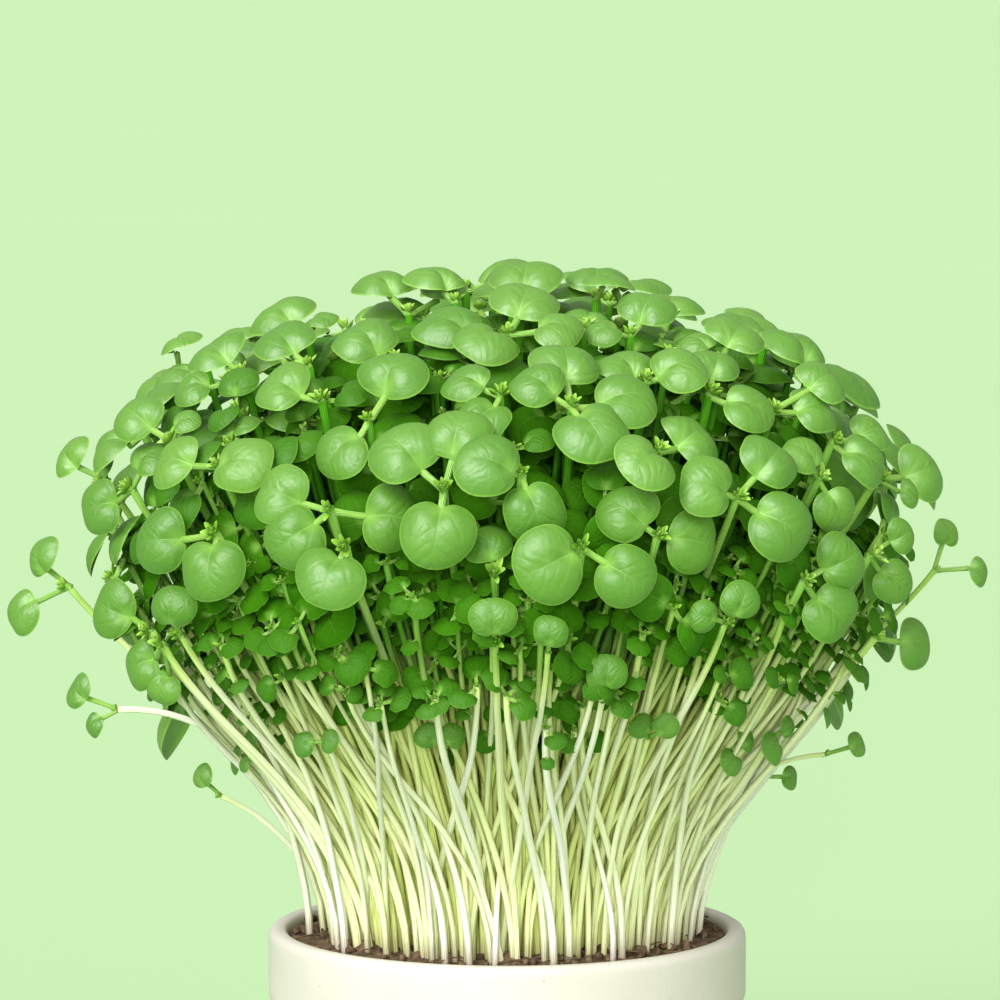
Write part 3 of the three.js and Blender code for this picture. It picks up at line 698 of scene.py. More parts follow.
def varied(middle, spread):
    return middle + added.uniform(-spread, spread)


def leaves_around(junction, n, turn, widths, raised, tilt, level_up=0.0):
    """Leaves set round a junction, the first two opposite each other and the next two across them."""
    level, steep = ways_across(n)
    leaves = []
    for i, width in enumerate(widths):
        varies = added.uniform(-ADDED_TURN_VARIES, ADDED_TURN_VARIES)
        angle = turn + ADDED_LEAF_TURNS[i] + varies
        way = plus(scaled(level, math.cos(angle)), steep, math.sin(angle))
        centre = plus(plus(junction, way, width * LEAF_SPOKE), n, raised)
        lean = [added.uniform(-t, t) for t in tilt]
        lean[2] += level_up
        leaves.append(make_leaf(junction, centre, width, 0, lean))
    return leaves


def inner_seedlings():
    """Seedlings whose leaves fill the gaps behind the outer ones."""
    made = []
    lowest = math.cos(INNER_LOWEST_POLAR)
    for i in range(INNER_PLACES):
        level = 1 - ((i + 0.5) / INNER_PLACES) * (1 - lowest)
        polar = varied(math.acos(level), INNER_POLAR_VARIES)
        azimuth = varied(i * GOLDEN_ANGLE, INNER_AZIMUTH_VARIES)
        p = on_canopy(polar, azimuth)
        n = outward(p)
        junction = plus(p, n, -added.uniform(*INNER_DEPTHS))
        width = varied(INNER_LEAF_WIDTH, INNER_LEAF_VARIES)
        grown_up = clamped((junction[2] - INNER_SMALL_BELOW) / (INNER_FULL_ABOVE - INNER_SMALL_BELOW))
        width *= INNER_LOW_SHARE + (1 - INNER_LOW_SHARE) * grown_up
        widths = [width, width * added.uniform(*INNER_SECOND_LEAF)]
        leaves = leaves_around(junction, n, added.uniform(0, FULL_TURN), widths, INNER_RAISED, INNER_TILT)
        seedling = grown(junction, leaves, scaled(n, -1), swing=varied(0, ADDED_STEM_SWING))
        placed = place_clear(seedling, INNER_SINKS, INNER_LEAF_GAP, ADDED_STEM_GAP)
        if placed:
            made.append(placed)
    return made


def lower_whorl(seedling, width):
    """Smaller leaves further down a stem, each with the point on the stem that it grows from."""
    line = curve_points(seedling["curve"], STEM_SAMPLES)
    kept = []
    for level in WHORL_LEVELS[: added.randint(0, len(WHORL_LEVELS))]:
        at = line[round(STEM_SAMPLES * level)]
        n = unit(plus(outward(at), UP, WHORL_UPWARDS))
        widths = [width * added.uniform(*WHORL_LEAF_VARIES) for _ in range(added.randint(2, 4))]
        turn = added.uniform(0, FULL_TURN)
        for leaf in leaves_around(at, n, turn, widths, WHORL_RAISED, WHORL_TILT, UNDER_LEVEL):
            samples = leaf_samples(leaf, at)[:-2]
            if is_clear(samples, UNDER_LEAF_GAP):
                take(samples, UNDER_LEAF_GAP)
                kept.append((at, leaf))
    return kept


def under_seedlings():
    """Late seedlings with small leaves, which fill the space below the canopy's ragged edge."""
    made = []
    inner, outer = UNDER_SPREAD
    for i in range(UNDER_TRIES):
        if len(made) == UNDER_PLACES:
            break
        azimuth = varied(i * GOLDEN_ANGLE, UNDER_AZIMUTH_VARIES)
        low, high = UNDER_HEIGHTS
        low += UNDER_RAGGED * (0.5 + 0.25 * (math.sin(5 * azimuth) + math.sin(11 * azimuth + 1)))
        z = high - (high - low) * added.uniform(0, 1) ** 1.7
        flare = min(FLARE_RADIUS + FLARE_GROWTH * z * z, CANOPY_RADIUS - UNDER_EDGE)
        r = flare * (inner + (outer - inner) * added.uniform(0, 1) ** 0.6)
        way_x, way_y = math.cos(azimuth), math.sin(azimuth)
        junction = (way_x * r, way_y * r, z)
        n = unit((way_x, way_y, added.uniform(0.3, 0.9)))
        width = varied(UNDER_LEAF_WIDTH, UNDER_LEAF_VARIES)
        widths = [width * part for part in UNDER_LEAF_SHARES][: added.randint(2, 5)]
        turn = added.uniform(0, FULL_TURN)
        leaves = leaves_around(junction, n, turn, widths, UNDER_RAISED, UNDER_TILT, UNDER_LEVEL)
        inward = (-way_x, -way_y, 0.0)
        spread = CLUMP_FOOT * added.uniform(*UNDER_FOOT)
        swing = varied(0, ADDED_STEM_SWING)
        reach = added.uniform(*UNDER_REACH)
        seedling = grown(junction, leaves, inward, (), reach, spread=spread, swing=swing)
        placed = place_clear(seedling, UNDER_SINKS, UNDER_LEAF_GAP, ADDED_STEM_GAP)
        if placed:
            made.append(placed)
            placed["lower"] = lower_whorl(placed, width * WHORL_LEAF_SHARE)
    return made


added_inner = inner_seedlings()
added_under = under_seedlings()


def new_object(name, data):
    made = bpy.data.objects.new(name, data)
    bpy.context.scene.collection.objects.link(made)
    return made


class Batch:
    """Collects the points, faces and traits of one piece before it becomes a mesh."""

    def __init__(self):
        self.points, self.places, self.traits = [], [], []
        self.quads, self.triangles, self.quad_slots, self.triangle_slots = [], [], [], []
        self.count = 0

    def add(self, points, quads, triangles, slot, places, traits):
        self.points.append(points)
        self.places.append(places)
        self.traits.append(traits)
        for faces, kept, slots in (
            (quads, self.quads, self.quad_slots),
            (triangles, self.triangles, self.triangle_slots),
        ):
            if len(faces):
                kept.append(np.asarray(faces) + self.count)
                slots.append(np.full(len(faces), slot))
        self.count += len(points)

    def piece(self, name, materials, slot, replaced=None):
        faces, slots = [], []
        for kept, kept_slots in ((self.quads, self.quad_slots), (self.triangles, self.triangle_slots)):
            for some, their_slots in zip(kept, kept_slots):
                faces += some.tolist()
                slots += their_slots.tolist()
        points = np.concatenate(self.points)
        mesh = bpy.data.meshes.new(name)
        raised = (points + (0, 0, SOIL_TOP)) / MM_PER_M
        mesh.from_pydata(raised.tolist(), [], faces)
        mesh.polygons.foreach_set("material_index", np.array(slots, np.int32))
        mesh.polygons.foreach_set("use_smooth", np.ones(len(faces), bool))
        corners = np.zeros(len(mesh.loops), np.int32)
        mesh.loops.foreach_get("vertex_index", corners)
        layer = mesh.uv_layers.new(name="place")
        layer.data.foreach_set("uv", np.concatenate(self.places)[corners].astype(np.float32).ravel())
        traits = mesh.attributes.new("traits", "FLOAT_COLOR", "POINT")
        traits.data.foreach_set("color", np.concatenate(self.traits).astype(np.float32).ravel())
        for material in materials:
            mesh.materials.append(material)
        mesh.update()
        mesh.set_sharp_from_angle(angle=SHARPEST)
        made = new_object(name, mesh)
        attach(made, "root")
        if replaced:
            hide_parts(replaced)
        return made


LEAF, STEM, BUD, SOIL = range(4)


def ring_faces(sides, rings, flipped=False, closed=True):
    """The quads and triangles over rings of points, from a first point to, when closed, a last one."""
    k = np.arange(sides)
    after = (k + 1) % sides
    a = 1 + np.arange(rings - 1)[:, None] * sides
    b = a + sides
    quads = np.stack([a + k, b + k, b + after, a + after], 2).reshape(-1, 4)
    first = np.zeros(sides, int)
    triangles = np.stack([first, 1 + k, 1 + after], 1)
    if closed:
        last = 1 + rings * sides
        end = np.stack([first + last, last - sides + after, last - sides + k], 1)
        triangles = np.concatenate([triangles, end])
    if flipped:
        return quads[:, (0, 3, 2, 1)], triangles[:, (0, 2, 1)]
    return quads, triangles


def with_ends(row, sides):
    """A number for each point of some rings and for the two end points, from one for each ring."""
    return np.concatenate([[row[0]], np.repeat(row, sides), [row[-1]]])


def blade_template(spokes, top_rings, under_rings):
    """A blade's grid: for each point its angle, its share of the way to the rim, and which face it is on."""
    way = np.linspace(-1, 1, spokes, endpoint=False) + 1 / spokes
    angles = np.sign(way) * np.pi * (1 - (1 - np.abs(way)) ** 1.45)
    rings = [(r, 1.0) for r in top_rings] + [(1.0, 0.5)] + [(r, 0.0) for r in under_rings]
    rho = np.concatenate([[0.0]] + [np.full(spokes, r) for r, _ in rings] + [[0.0]])
    face = np.concatenate([[1.0]] + [np.full(spokes, f) for _, f in rings] + [[0.0]])
    angle = np.concatenate([[0.0]] + [angles] * len(rings) + [[0.0]])
    return angle, rho, face, *ring_faces(spokes, len(rings))


LARGE_BLADE = blade_template(36, (0.25, 0.48, 0.7, 0.87, 0.96), (0.75,))
MIDDLE_BLADE = blade_template(26, (0.4, 0.7, 0.92), (0.7,))
SMALL_BLADE = blade_template(24, (0.62,), ())


def add_leaf(batch, leaf, template, tone, depth, chance, toothed=0.0):
    """A domed blade with a notched base, its two lobes swelling on either side of the midrib."""
    angle, rho, face, quads, triangles = template
    notch = np.exp(-(((np.pi - np.abs(angle)) / LEAF_NOTCH_WIDTH) ** 2))
    lobes = np.exp(-(((np.abs(angle) - LOBE_AT) / LOBE_WIDTH) ** 2))
    tip = np.exp(-((angle / TIP_WIDTH) ** 2))
    wave = chance.uniform(0, FULL_TURN, 4)
    rim = 1 + LOBE_BULGE * lobes - TIP_DRAWN_IN * tip * chance.uniform(0, 1.8)
    rim = rim - chance.uniform(*LEAF_NOTCH) * notch
    rim = rim + RIM_WAVES[0] * np.sin(2 * angle + wave[0]) + RIM_WAVES[1] * np.sin(3 * angle + wave[1])
    rim = rim + chance.uniform(*RIM_SQUARE) * np.cos(4 * angle)
    rim = rim - toothed * (1 - np.abs(np.cos(chance.choice(TOOTH_TURNS) * angle)))
    x = rho * rim * np.cos(angle)
    y = rho * rim * np.sin(angle)
    half_length = leaf["half_length"] * chance.uniform(*LEAF_LONG)
    half_width = leaf["half_width"] * chance.uniform(*LEAF_WIDE)
    relative = half_width / TYPICAL_HALF_WIDTH
    droop = LEAF_CUP * chance.uniform(*LEAF_DROOP)
    height = LEAF_TOP - droop * half_width * (0.72 * rho**2.1 + 0.28 * rho**6)
    valley = np.exp(-((y / 0.16) ** 2)) * np.clip(0.7 - x, 0, 1.4)
    height = height - MIDRIB_VALLEY * relative * valley * (1 - 0.5 * rho**4)
    swell = np.exp(-(((np.abs(y) - 0.42) / 0.3) ** 2)) * np.exp(-(((x + 0.1) / 0.6) ** 2))
    height = height + LOBE_SWELL * relative * swell
    waves = BLADE_WAVES[0] * np.sin(2 * angle + wave[2]) + BLADE_WAVES[1] * np.sin(3 * angle + wave[3])
    height = height + half_width * rho**2 * waves
    height = height + chance.uniform(*LEAF_FOLD) * half_width * np.abs(y)
    base = np.exp(-(((x - ATTACHED_AT) ** 2 + y**2) / 0.07))
    height = height - STALK_DIP * relative * base
    thick = LEAF_THICK * (1 - LEAF_THINS * rho**3)
    height = height - thick * (1 - face)
    centre, along, across, normal = (np.array(leaf[k]) for k in ("centre", "along", "across", "normal"))
    bend = chance.uniform(*LEAF_BEND)
    height = height - bend * half_length * (x + 0.4) ** 2 * 0.5
    points = centre + np.outer(x * half_length, along) + np.outer(y * half_width, across)
    points = points + np.outer(height, normal)
    places = np.stack([0.5 + 0.45 * x, 0.5 + 0.45 * y], 1)
    traits = np.stack([np.full(len(x), tone), np.full(len(x), depth), rho, face], 1)
    batch.add(points, quads, triangles, LEAF, places, traits)
    inner = int(np.argmin((x - ATTACHED_AT) ** 2 + y**2 + (1 - face)))
    return centre + along * (ATTACHED_AT * half_length) + normal * (height[inner] - STALK_SUNK)


def tube(points, radii, sides, ribs=0.0, phase=0.0):
    """A tube along a line of points, closed at both ends, with the turn and length of each of its points."""
    points = np.asarray(points, float)
    ways = np.gradient(points, axis=0)
    ways /= np.linalg.norm(ways, axis=1)[:, None]
    side = np.cross(ways[0], (0.3, 0.9, 0.1))
    side /= np.linalg.norm(side)
    made = [points[:1] - ways[:1] * radii[0] * 0.4]
    turns = np.arange(sides) / sides * 2 * np.pi
    for i, way in enumerate(ways):
        side = side - way * (side @ way)
        side /= np.linalg.norm(side)
        other = np.cross(way, side)
        r = radii[i] * (1 + ribs * np.cos(turns * 3 + phase + i * 0.05))
        made.append(points[i] + np.outer(np.cos(turns) * r, side) + np.outer(np.sin(turns) * r, other))
    made.append(points[-1:] + ways[-1:] * radii[-1] * 0.6)
    lengths = np.concatenate([[0], np.cumsum(np.linalg.norm(np.diff(points, axis=0), axis=1))])
    u = np.concatenate([[0.5], np.tile(np.arange(sides) / sides, len(points)), [0.5]])
    return np.concatenate(made), u, with_ends(lengths, sides)


def add_tube(batch, points, radii, sides, slot, tone, green, ribs=0.0, phase=0.0, inner=None):
    """A tube with its greenness given along it, and how deep it lies; its height goes with them."""
    made, u, v = tube(points, radii, sides, ribs, phase)
    places = np.stack([1 - np.abs(2 * u - 1), v / 10], 1)
    inner = np.zeros(len(points)) if inner is None else inner
    height = np.clip(made[:, 2] / TALLEST, 0, 1)
    tones = np.full(len(made), tone)
    traits = np.stack([tones, with_ends(green, sides), height, with_ends(inner, sides)], 1)
    batch.add(made, *ring_faces(sides, len(points), flipped=True), slot, places, traits)


def add_stem(batch, seedling, foot, radii, sides, steps, tone, chance):
    """A stem from its foot to its junction, a little uneven in line and in thickness."""
    t = np.linspace(0, 1, steps + 1)
    points = np.array(curve_points(seedling["curve"], steps))
    shift = np.array(foot) - np.array(seedling["curve"][0])
    points = points + np.outer((1 - t) ** 2, shift)
    calm = np.sin(np.pi * t)
    for axis in (0, 1):
        wave = chance.uniform(0, FULL_TURN, 2)
        for (size, turns), start in zip(STEM_WAVES, wave):
            points[:, axis] += calm * size * np.sin(2 * np.pi * t * turns + start)
    points[0, 2] = STEM_FOOT
    r = radii[0] + (radii[1] - radii[0]) * t
    r = r * (1 + STEM_UNEVEN * np.sin(t * 9 + chance.uniform(0, FULL_TURN)))
    r[-1] *= STEM_NODE
    height = points[:, 2]
    greens_at = np.clip(height[-1] - STEM_GREENS_BELOW_TIP, *STEM_GREENS_AT)
    green = 0.12 * np.clip((height - 4) / 20, 0, 1) + 0.2 * t**7
    green += 0.7 * np.clip((height - greens_at) / STEM_GREENS_WITHIN, 0, 1)
    # how far inside the clump each point of the stem lies, which sets its painted glow and painted shade
    flare = FLARE_RADIUS + FLARE_GROWTH * np.clip(height, 0, 40) ** 2
    edge, within = DEEP_STEMS_WITHIN
    inner = np.clip((edge - np.hypot(points[:, 0], points[:, 1]) / flare) / within, 0, 1)
    add_tube(batch, points, r, sides, STEM, tone, green, STEM_RIBS, chance.uniform(0, FULL_TURN), inner)


def add_stalk(batch, junction, leaf, attached, tone, thick, sides, steps):
    """The short stalk from the junction to the notch of a blade, which it enters from beneath."""
    start = np.array(junction)
    along, normal = np.array(leaf["along"]), np.array(leaf["normal"])
    end = attached + along * leaf["half_length"] * 0.12 - normal * thick * 0.7
    middle = (start + end) / 2 - normal * 0.12
    t = np.linspace(0, 1, steps)[:, None]
    points = start * (1 - t) ** 2 + middle * 2 * t * (1 - t) + end * t**2
    radii = thick * np.interp(t[:, 0], (0, 0.4, 1), (1.2, 0.95, 1.15))
    add_tube(batch, points, radii, sides, STEM, tone, np.full(len(points), 0.9))


def ball_template(sides, levels):
    """A ball's points, quads and triangles."""
    points = [(0, 0, -1)]
    for i in range(1, levels):
        a = math.pi * i / levels
        for k in range(sides):
            b = 2 * math.pi * k / sides
            points.append((math.sin(a) * math.cos(b), math.sin(a) * math.sin(b), -math.cos(a)))
    points.append((0, 0, 1))
    return np.array(points), *ring_faces(sides, levels - 1, flipped=True)


LEAFLET = blade_template(12, (0.6,), ())
SMALL_LEAFLET = blade_template(8, (), ())


def add_leaflet(batch, template, at, way, inner, long, wide, tone):
    """One small folded leaf of a growing tip, hollow on its inner side."""
    angle, rho, face, quads, triangles = template
    across = np.cross(inner, way)
    x = 0.5 + 0.5 * rho * np.cos(angle)
    y = rho * np.sin(angle) * (1.2 - 0.5 * x)
    height = wide * (0.25 * y**2 + 0.22 * np.abs(y)) + long * 0.2 * x**2 - 0.2 * (1 - face) * (1 - rho**2)
    made = at + np.outer(x * long, way) + np.outer(y * wide / 2, across) + np.outer(height, inner)
    places = np.stack([0.1 + 0.8 * x, 0.5 + 0.4 * y], 1)
    traits = np.stack([np.full(len(x), tone), x, np.abs(y), face], 1)
    batch.add(made, quads, triangles, BUD, places, traits)


def add_growing_tip(batch, seedling, way, template, count, size, tone, chance):
    """The tip between the leaves: small folded leaves in a spiral, the inner ones still upright."""
    n = np.array(unit(way))
    level = np.cross(n, (0.1, 0.2, 0.97))
    level /= np.linalg.norm(level)
    steep = np.cross(n, level)
    start = np.array(seedling["junction"])
    turn = chance.uniform(0, FULL_TURN)
    for i in range(count):
        out = i / count
        angle = turn + i * GOLDEN_ANGLE
        spoke = level * math.cos(angle) + steep * math.sin(angle)
        lean = 0.2 + 0.95 * out + chance.uniform(-0.15, 0.2)
        aim = n * math.cos(lean) + spoke * math.sin(lean)
        inner = n * math.sin(lean) - spoke * math.cos(lean)
        at = start + spoke * size * (0.15 + 0.2 * out) + n * size * (0.75 - 0.55 * out)
        long = size * (0.85 + 0.8 * out * out) * chance.uniform(0.85, 1.2)
        own = clamped(tone + chance.uniform(-0.4, 0.4))
        add_leaflet(batch, template, at, aim, inner, long, long * chance.uniform(0.44, 0.6), own)
    core = start[None] + np.outer(np.linspace(-0.4, size * 0.9, 3), n)
    add_tube(batch, core, np.array([0.5, 0.46, 0.24]) * size, 5, STEM, tone, np.full(3, 0.95))


def add_root_ball(batch, centre):
    """The plug of soil and roots at a tuft's foot, as deep as the solid's."""
    levels = np.linspace(0, 1, 6)
    points = [np.array(centre) + (0, 0, ROOT_RISE - ROOT_DEPTH * (1 - t)) for t in levels]
    radii = ROOT_FOOT_RADIUS + (ROOT_RADIUS - ROOT_FOOT_RADIUS) * levels
    add_tube(batch, points, radii * 0.96, 14, SOIL, 0.5, np.zeros(6))


class Number:
    """A number that a material's nodes work out, so that sums with it are written with the usual signs."""

    def __init__(self, graph, socket):
        self.graph = graph
        self.socket = socket

    def __add__(self, other):
        return self.graph.math("ADD", self, other)

    def __sub__(self, other):
        return self.graph.math("SUBTRACT", self, other)

    def __rsub__(self, other):
        return self.graph.math("SUBTRACT", other, self)

    def __mul__(self, other):
        return self.graph.math("MULTIPLY", self, other)

    def __truediv__(self, other):
        return self.graph.math("DIVIDE", self, other)


class Graph:
    """A material whose node tree is built with short calls."""

    def __init__(self, name):
        self.material = bpy.data.materials.new(name)
        self.material.use_nodes = True
        self.tree = self.material.node_tree
        self.surface = self.tree.nodes["Principled BSDF"]

    def node(self, kind, **settings):
        made = self.tree.nodes.new("ShaderNode" + kind)
        for key, value in settings.items():
            setattr(made, key, value)
        return made

    def feed(self, socket, value):
        if isinstance(value, Number):
            value = value.socket
        if isinstance(value, bpy.types.NodeSocket):
            self.tree.links.new(value, socket)
        else:
            socket.default_value = value

    def math(self, operation, *values):
        made = self.node("Math", operation=operation)
        for socket, value in zip(made.inputs, values):
            self.feed(socket, value)
        return Number(self, made.outputs[0])

    def line(self, value, slope, start):
        return self.math("MULTIPLY_ADD", value, slope, start)

    def most(self, a, b):
        return self.math("MAXIMUM", a, b)

    def least(self, a, b):
        return self.math("MINIMUM", a, b)

    def smooth(self, value, low, high, start=0.0, end=1.0):
        made = self.node("MapRange", interpolation_type="SMOOTHSTEP", clamp=True)
        for socket, given in zip(made.inputs, (value, low, high, start, end)):
            self.feed(socket, given)
        return Number(self, made.outputs[0])

    def mix(self, factor, a, b):
        made = self.node("Mix", data_type="RGBA")
        for index, value in ((0, factor), (6, a), (7, b)):
            self.feed(made.inputs[index], value)
        return made.outputs[2]

    def noise(self, vector, scale, detail=3.0, rough=0.55):
        made = self.node("TexNoise")
        self.feed(made.inputs["Vector"], vector)
        for key, value in (("Scale", scale), ("Detail", detail), ("Roughness", rough)):
            made.inputs[key].default_value = value
        return Number(self, made.outputs["Fac"])

    def voronoi(self, vector, scale, feature="DISTANCE_TO_EDGE"):
        made = self.node("TexVoronoi", feature=feature)
        self.feed(made.inputs["Vector"], vector)
        made.inputs["Scale"].default_value = scale
        return Number(self, made.outputs["Distance"])

    def xyz(self, x, y, z):
        made = self.node("CombineXYZ")
        for socket, value in zip(made.inputs, (x, y, z)):
            self.feed(socket, value)
        return made.outputs[0]

    def traits(self):
        """The four numbers kept at each point of a mesh."""
        source = self.node("Attribute", attribute_name="traits")
        split = self.node("SeparateColor")
        self.feed(split.inputs[0], source.outputs["Color"])
        return [Number(self, socket) for socket in (*split.outputs[:3], source.outputs["Alpha"])]

    def place(self):
        source = self.node("UVMap", uv_map="place")
        split = self.node("SeparateXYZ")
        self.feed(split.inputs[0], source.outputs[0])
        return [Number(self, socket) for socket in split.outputs[:2]]

    def object_space(self):
        return self.node("TexCoord").outputs["Object"]

    def ramp(self, value, *stops):
        made = self.node("ValToRGB")
        elements = made.color_ramp.elements
        while len(elements) > 1:
            elements.remove(elements[-1])
        elements[0].position, elements[0].color = stops[0][0], (*stops[0][1], 1)
        for position, colour in stops[1:]:
            elements.new(position).color = (*colour, 1)
        self.feed(made.inputs[0], value)
        return made.outputs[0]

    def bump(self, height, distance, strength=1.0):
        made = self.node("Bump")
        made.inputs["Strength"].default_value = strength
        made.inputs["Distance"].default_value = distance
        self.feed(made.inputs["Height"], height)
        self.feed(self.surface.inputs["Normal"], made.outputs[0])

    def set(self, **values):
        for key, value in values.items():
            self.feed(self.surface.inputs[key.replace("_", " ")], value)


def ridge(g, distance, width):
    """1 on a line and 0 past its width."""
    return 1.0 - g.smooth(distance, width * 0.25, width)


def leaf_material():
    g = Graph("basil_leaf")
    tone, depth, rho, face = g.traits()
    u, v = g.place()
    x = (u - 0.5) / 0.45
    y = (v - 0.5) / 0.45
    own = tone * 37.0
    spot = g.xyz(x, y, own)
    warp = g.noise(spot, 1.9, 2.0) - 0.5
    bent_x = x - ATTACHED_AT + warp * 0.16
    other = g.noise(g.xyz(y, own, x), 2.3, 2.0) - 0.5
    bent_y = y + other * 0.16 * g.smooth(bent_x, 0.1, 0.8)
    side = g.math("SIGN", bent_y)
    off = g.math("ABSOLUTE", bent_y)
    # the midrib, from the notch almost to the tip
    width = g.most(g.line(bent_x, -0.036, 0.06), 0.016)
    midrib = ridge(g, off, width)
    midrib = midrib * g.smooth(bent_x, -0.06, 0.02)
    midrib = midrib * g.smooth(bent_x, 1.62, 1.2)
    # side veins that leave the foot of the midrib and arch towards the tip
    angle = g.math("ARCTAN2", off, bent_x)
    reach = g.math("SQRT", bent_x * bent_x + off * off)
    drawn_in = angle / g.most(g.line(reach, -0.36, 1.0), 0.3)
    arches = None
    swell = g.most(g.smooth(off, 0.0, 0.16), g.smooth(bent_x, 1.2, 1.6))
    for opening in (0.95, 1.95):
        aside = g.math("ABSOLUTE", drawn_in - g.line(side, 0.07, opening))
        aside = aside * reach
        arch = ridge(g, aside, 0.05)
        arches = arch if arches is None else g.most(arches, arch)
        swell = g.least(swell, g.most(g.smooth(aside, 0.0, 0.17), g.smooth(reach, 0.9, 1.3)))
    arches = arches * g.smooth(reach, 1.3, 0.7)
    # side veins that leave the midrib further up
    start = g.line(off, -0.7, bent_x)
    start = start - off * off * 0.45
    start = g.line(side, 0.09, start)
    step = g.math("FRACT", start * (1 / 0.36))
    aside = g.math("ABSOLUTE", step - 0.5) * 0.36
    feather = ridge(g, aside, 0.042)
    past = 1.0 - g.smooth(start, 0.3, 0.42) * g.smooth(off, 0.72, 0.35)
    swell = g.least(swell, g.most(g.smooth(aside, 0.0, 0.15), past))
    feather = feather * g.smooth(start, 0.3, 0.42)
    feather = feather * g.smooth(off, 0.72, 0.35)
    net = g.voronoi(g.xyz(x + warp * 0.5, y, own), 6.5)
    net = 1.0 - g.smooth(net, 0.0, 0.07)
    veins = g.most(midrib * 0.8, arches * 0.38)
    veins = g.most(veins, feather * 0.3)
    fine = net * 0.12
    # colour
    mottle = g.noise(g.object_space(), 260.0, 4.0)
    shade = g.line(tone, 0.42, 0.1) + mottle * 0.38
    green = g.ramp(
        shade,
        (0.15, (0.052, 0.170, 0.008)),
        (0.5, (0.083, 0.217, 0.015)),
        (0.85, (0.118, 0.266, 0.024)),
    )
    # painted shade: a leaf lying deep in the clump or low under the canopy is mixed towards a dark green
    green = g.mix(depth * 0.85, green, (0.02, 0.105, 0.001, 1))
    lit_vein = (0.27, 0.48, 0.10, 1)
    green = g.mix(g.most(veins, fine) * 0.12, green, lit_vein)
    # painted light: a lighter band at the blade's rim, weaker on deep leaves, stands in for light shining
    # through the thin edge
    rim = g.smooth(rho, 0.95, 1.0) * g.line(depth, -0.35, 0.44)
    green = g.mix(rim, green, (0.25, 0.50, 0.05, 1))
    heart = g.smooth(reach, 0.42, 0.0) * 0.5
    green = g.mix(heart, green, (0.24, 0.47, 0.08, 1))
    under = g.mix(veins * 0.4, (0.17, 0.38, 0.085, 1), (0.36, 0.55, 0.22, 1))
    # painted light: the underside is lighter towards the rim, for light coming through the thin edge
    under = g.mix(g.smooth(rho, 0.8, 1.0) * 0.7, under, (0.3, 0.52, 0.1, 1))
    # painted shade: the underside of a leaf deep in the clump is mixed towards a dark green
    under = g.mix(depth * 0.85, under, (0.04, 0.15, 0.003, 1))
    green = g.mix(g.smooth(face, 0.6, 0.4), green, under)
    g.set(Base_Color=green, IOR=1.48)
    sheen_spots = g.noise(g.object_space(), 900.0, 2.0)
    g.set(Roughness=sheen_spots * 0.1 + g.line(veins, 0.06, 0.45))
    g.set(Specular_IOR_Level=g.line(depth, -1.0, 1.0))
    cells = g.noise(spot, 26.0, 2.0)
    relief = veins * -0.25 + fine * -0.5
    relief = relief + cells * 0.06
    relief = relief + g.noise(spot, 3.2, 2.0) * 0.65
    uneven = g.line(g.smooth(g.noise(spot, 2.6, 2.0), 0.4, 0.62), 0.4, 0.06)
    relief = relief + swell * uneven
    g.bump(relief, 0.00014, 0.75)
    return g.material


def stem_material():
    g = Graph("basil_stem")
    tone, green, height, inner = g.traits()
    u, v = g.place()
    own = tone * 23.0
    streaks = g.noise(g.xyz(u * 6.0, v * 0.8, own), 2.2, 3.0)
    shifted = green + (tone - 0.3) * 0.22
    shifted = shifted + (streaks - 0.5) * 0.08
    colour = g.ramp(
        shifted,
        (0.0, (0.84, 0.82, 0.80)),
        (0.13, (0.82, 0.82, 0.65)),
        (0.26, (0.76, 0.80, 0.47)),
        (0.42, (0.62, 0.75, 0.26)),
        (0.62, (0.37, 0.59, 0.11)),
        (1.0, (0.20, 0.42, 0.060)),
    )
    own_height = g.line(tone, 0.08, height)
    # painted light and shade: stems inside the clump are coloured a bright yellow-green low down, standing in
    # for light passing through them, and a dark green higher up, standing in for the canopy's shade
    deep = g.mix(g.smooth(own_height, 0.34, 0.54), (0.87, 0.96, 0.29, 1), (0.045, 0.22, 0.005, 1))
    colour = g.mix(inner * 0.94, colour, deep)
    colour = g.mix(g.smooth(height, 0.05, 0.0) * 0.5, colour, (0.55, 0.42, 0.22, 1))
    light = g.smooth(streaks, 0.55, 0.75) * g.line(inner, -0.2, 0.25)
    colour = g.mix(light, colour, (0.88, 0.86, 0.70, 1))
    g.set(Base_Color=colour, Roughness=g.line(streaks, 0.2, 0.32))
    g.set(Specular_IOR_Level=g.line(inner, -0.4, 0.4))
    ribs = g.math("SINE", u * 44.0)
    g.bump(ribs * 0.5 + streaks, 0.0001, 0.7)
    return g.material


def bud_material():
    g = Graph("basil_bud")
    tone, long, off, _ = g.traits()
    spots = g.noise(g.object_space(), 1400.0, 3.0)
    shade = long * 0.55 + spots * 0.3
    shade = shade + tone * 0.25
    colour = g.ramp(
        shade,
        (0.15, (0.08, 0.25, 0.010)),
        (0.5, (0.19, 0.41, 0.032)),
        (0.85, (0.34, 0.54, 0.10)),
    )
    # painted shade: the fold down the middle of each leaflet is darker
    crease = g.smooth(off, 0.22, 0.0) * 0.35
    colour = g.mix(crease, colour, (0.16, 0.38, 0.04, 1))
    g.set(Base_Color=colour, Roughness=g.line(spots, 0.2, 0.34))
    g.set(Specular_IOR_Level=0.45)
    g.bump(spots - g.smooth(off, 0.25, 0.0) * 0.6, 0.00012, 0.8)
    return g.material


def soil_material():
    g = Graph("potting_soil")
    where = g.object_space()
    lumps = g.noise(where, 420.0, 6.0, 0.65)
    grains = g.voronoi(where, 900.0, "F1")
    shade = lumps * 0.75 + grains * 0.35
    colour = g.ramp(
        shade,
        (0.25, (0.022, 0.013, 0.007)),
        (0.5, (0.075, 0.046, 0.026)),
        (0.72, (0.165, 0.108, 0.062)),
        (0.9, (0.30, 0.22, 0.14)),
    )
    g.set(Base_Color=colour, Roughness=g.line(lumps, 0.25, 0.72), Specular_IOR_Level=0.25)
    g.bump(lumps + grains * 0.6, 0.0006, 0.9)
    return g.material


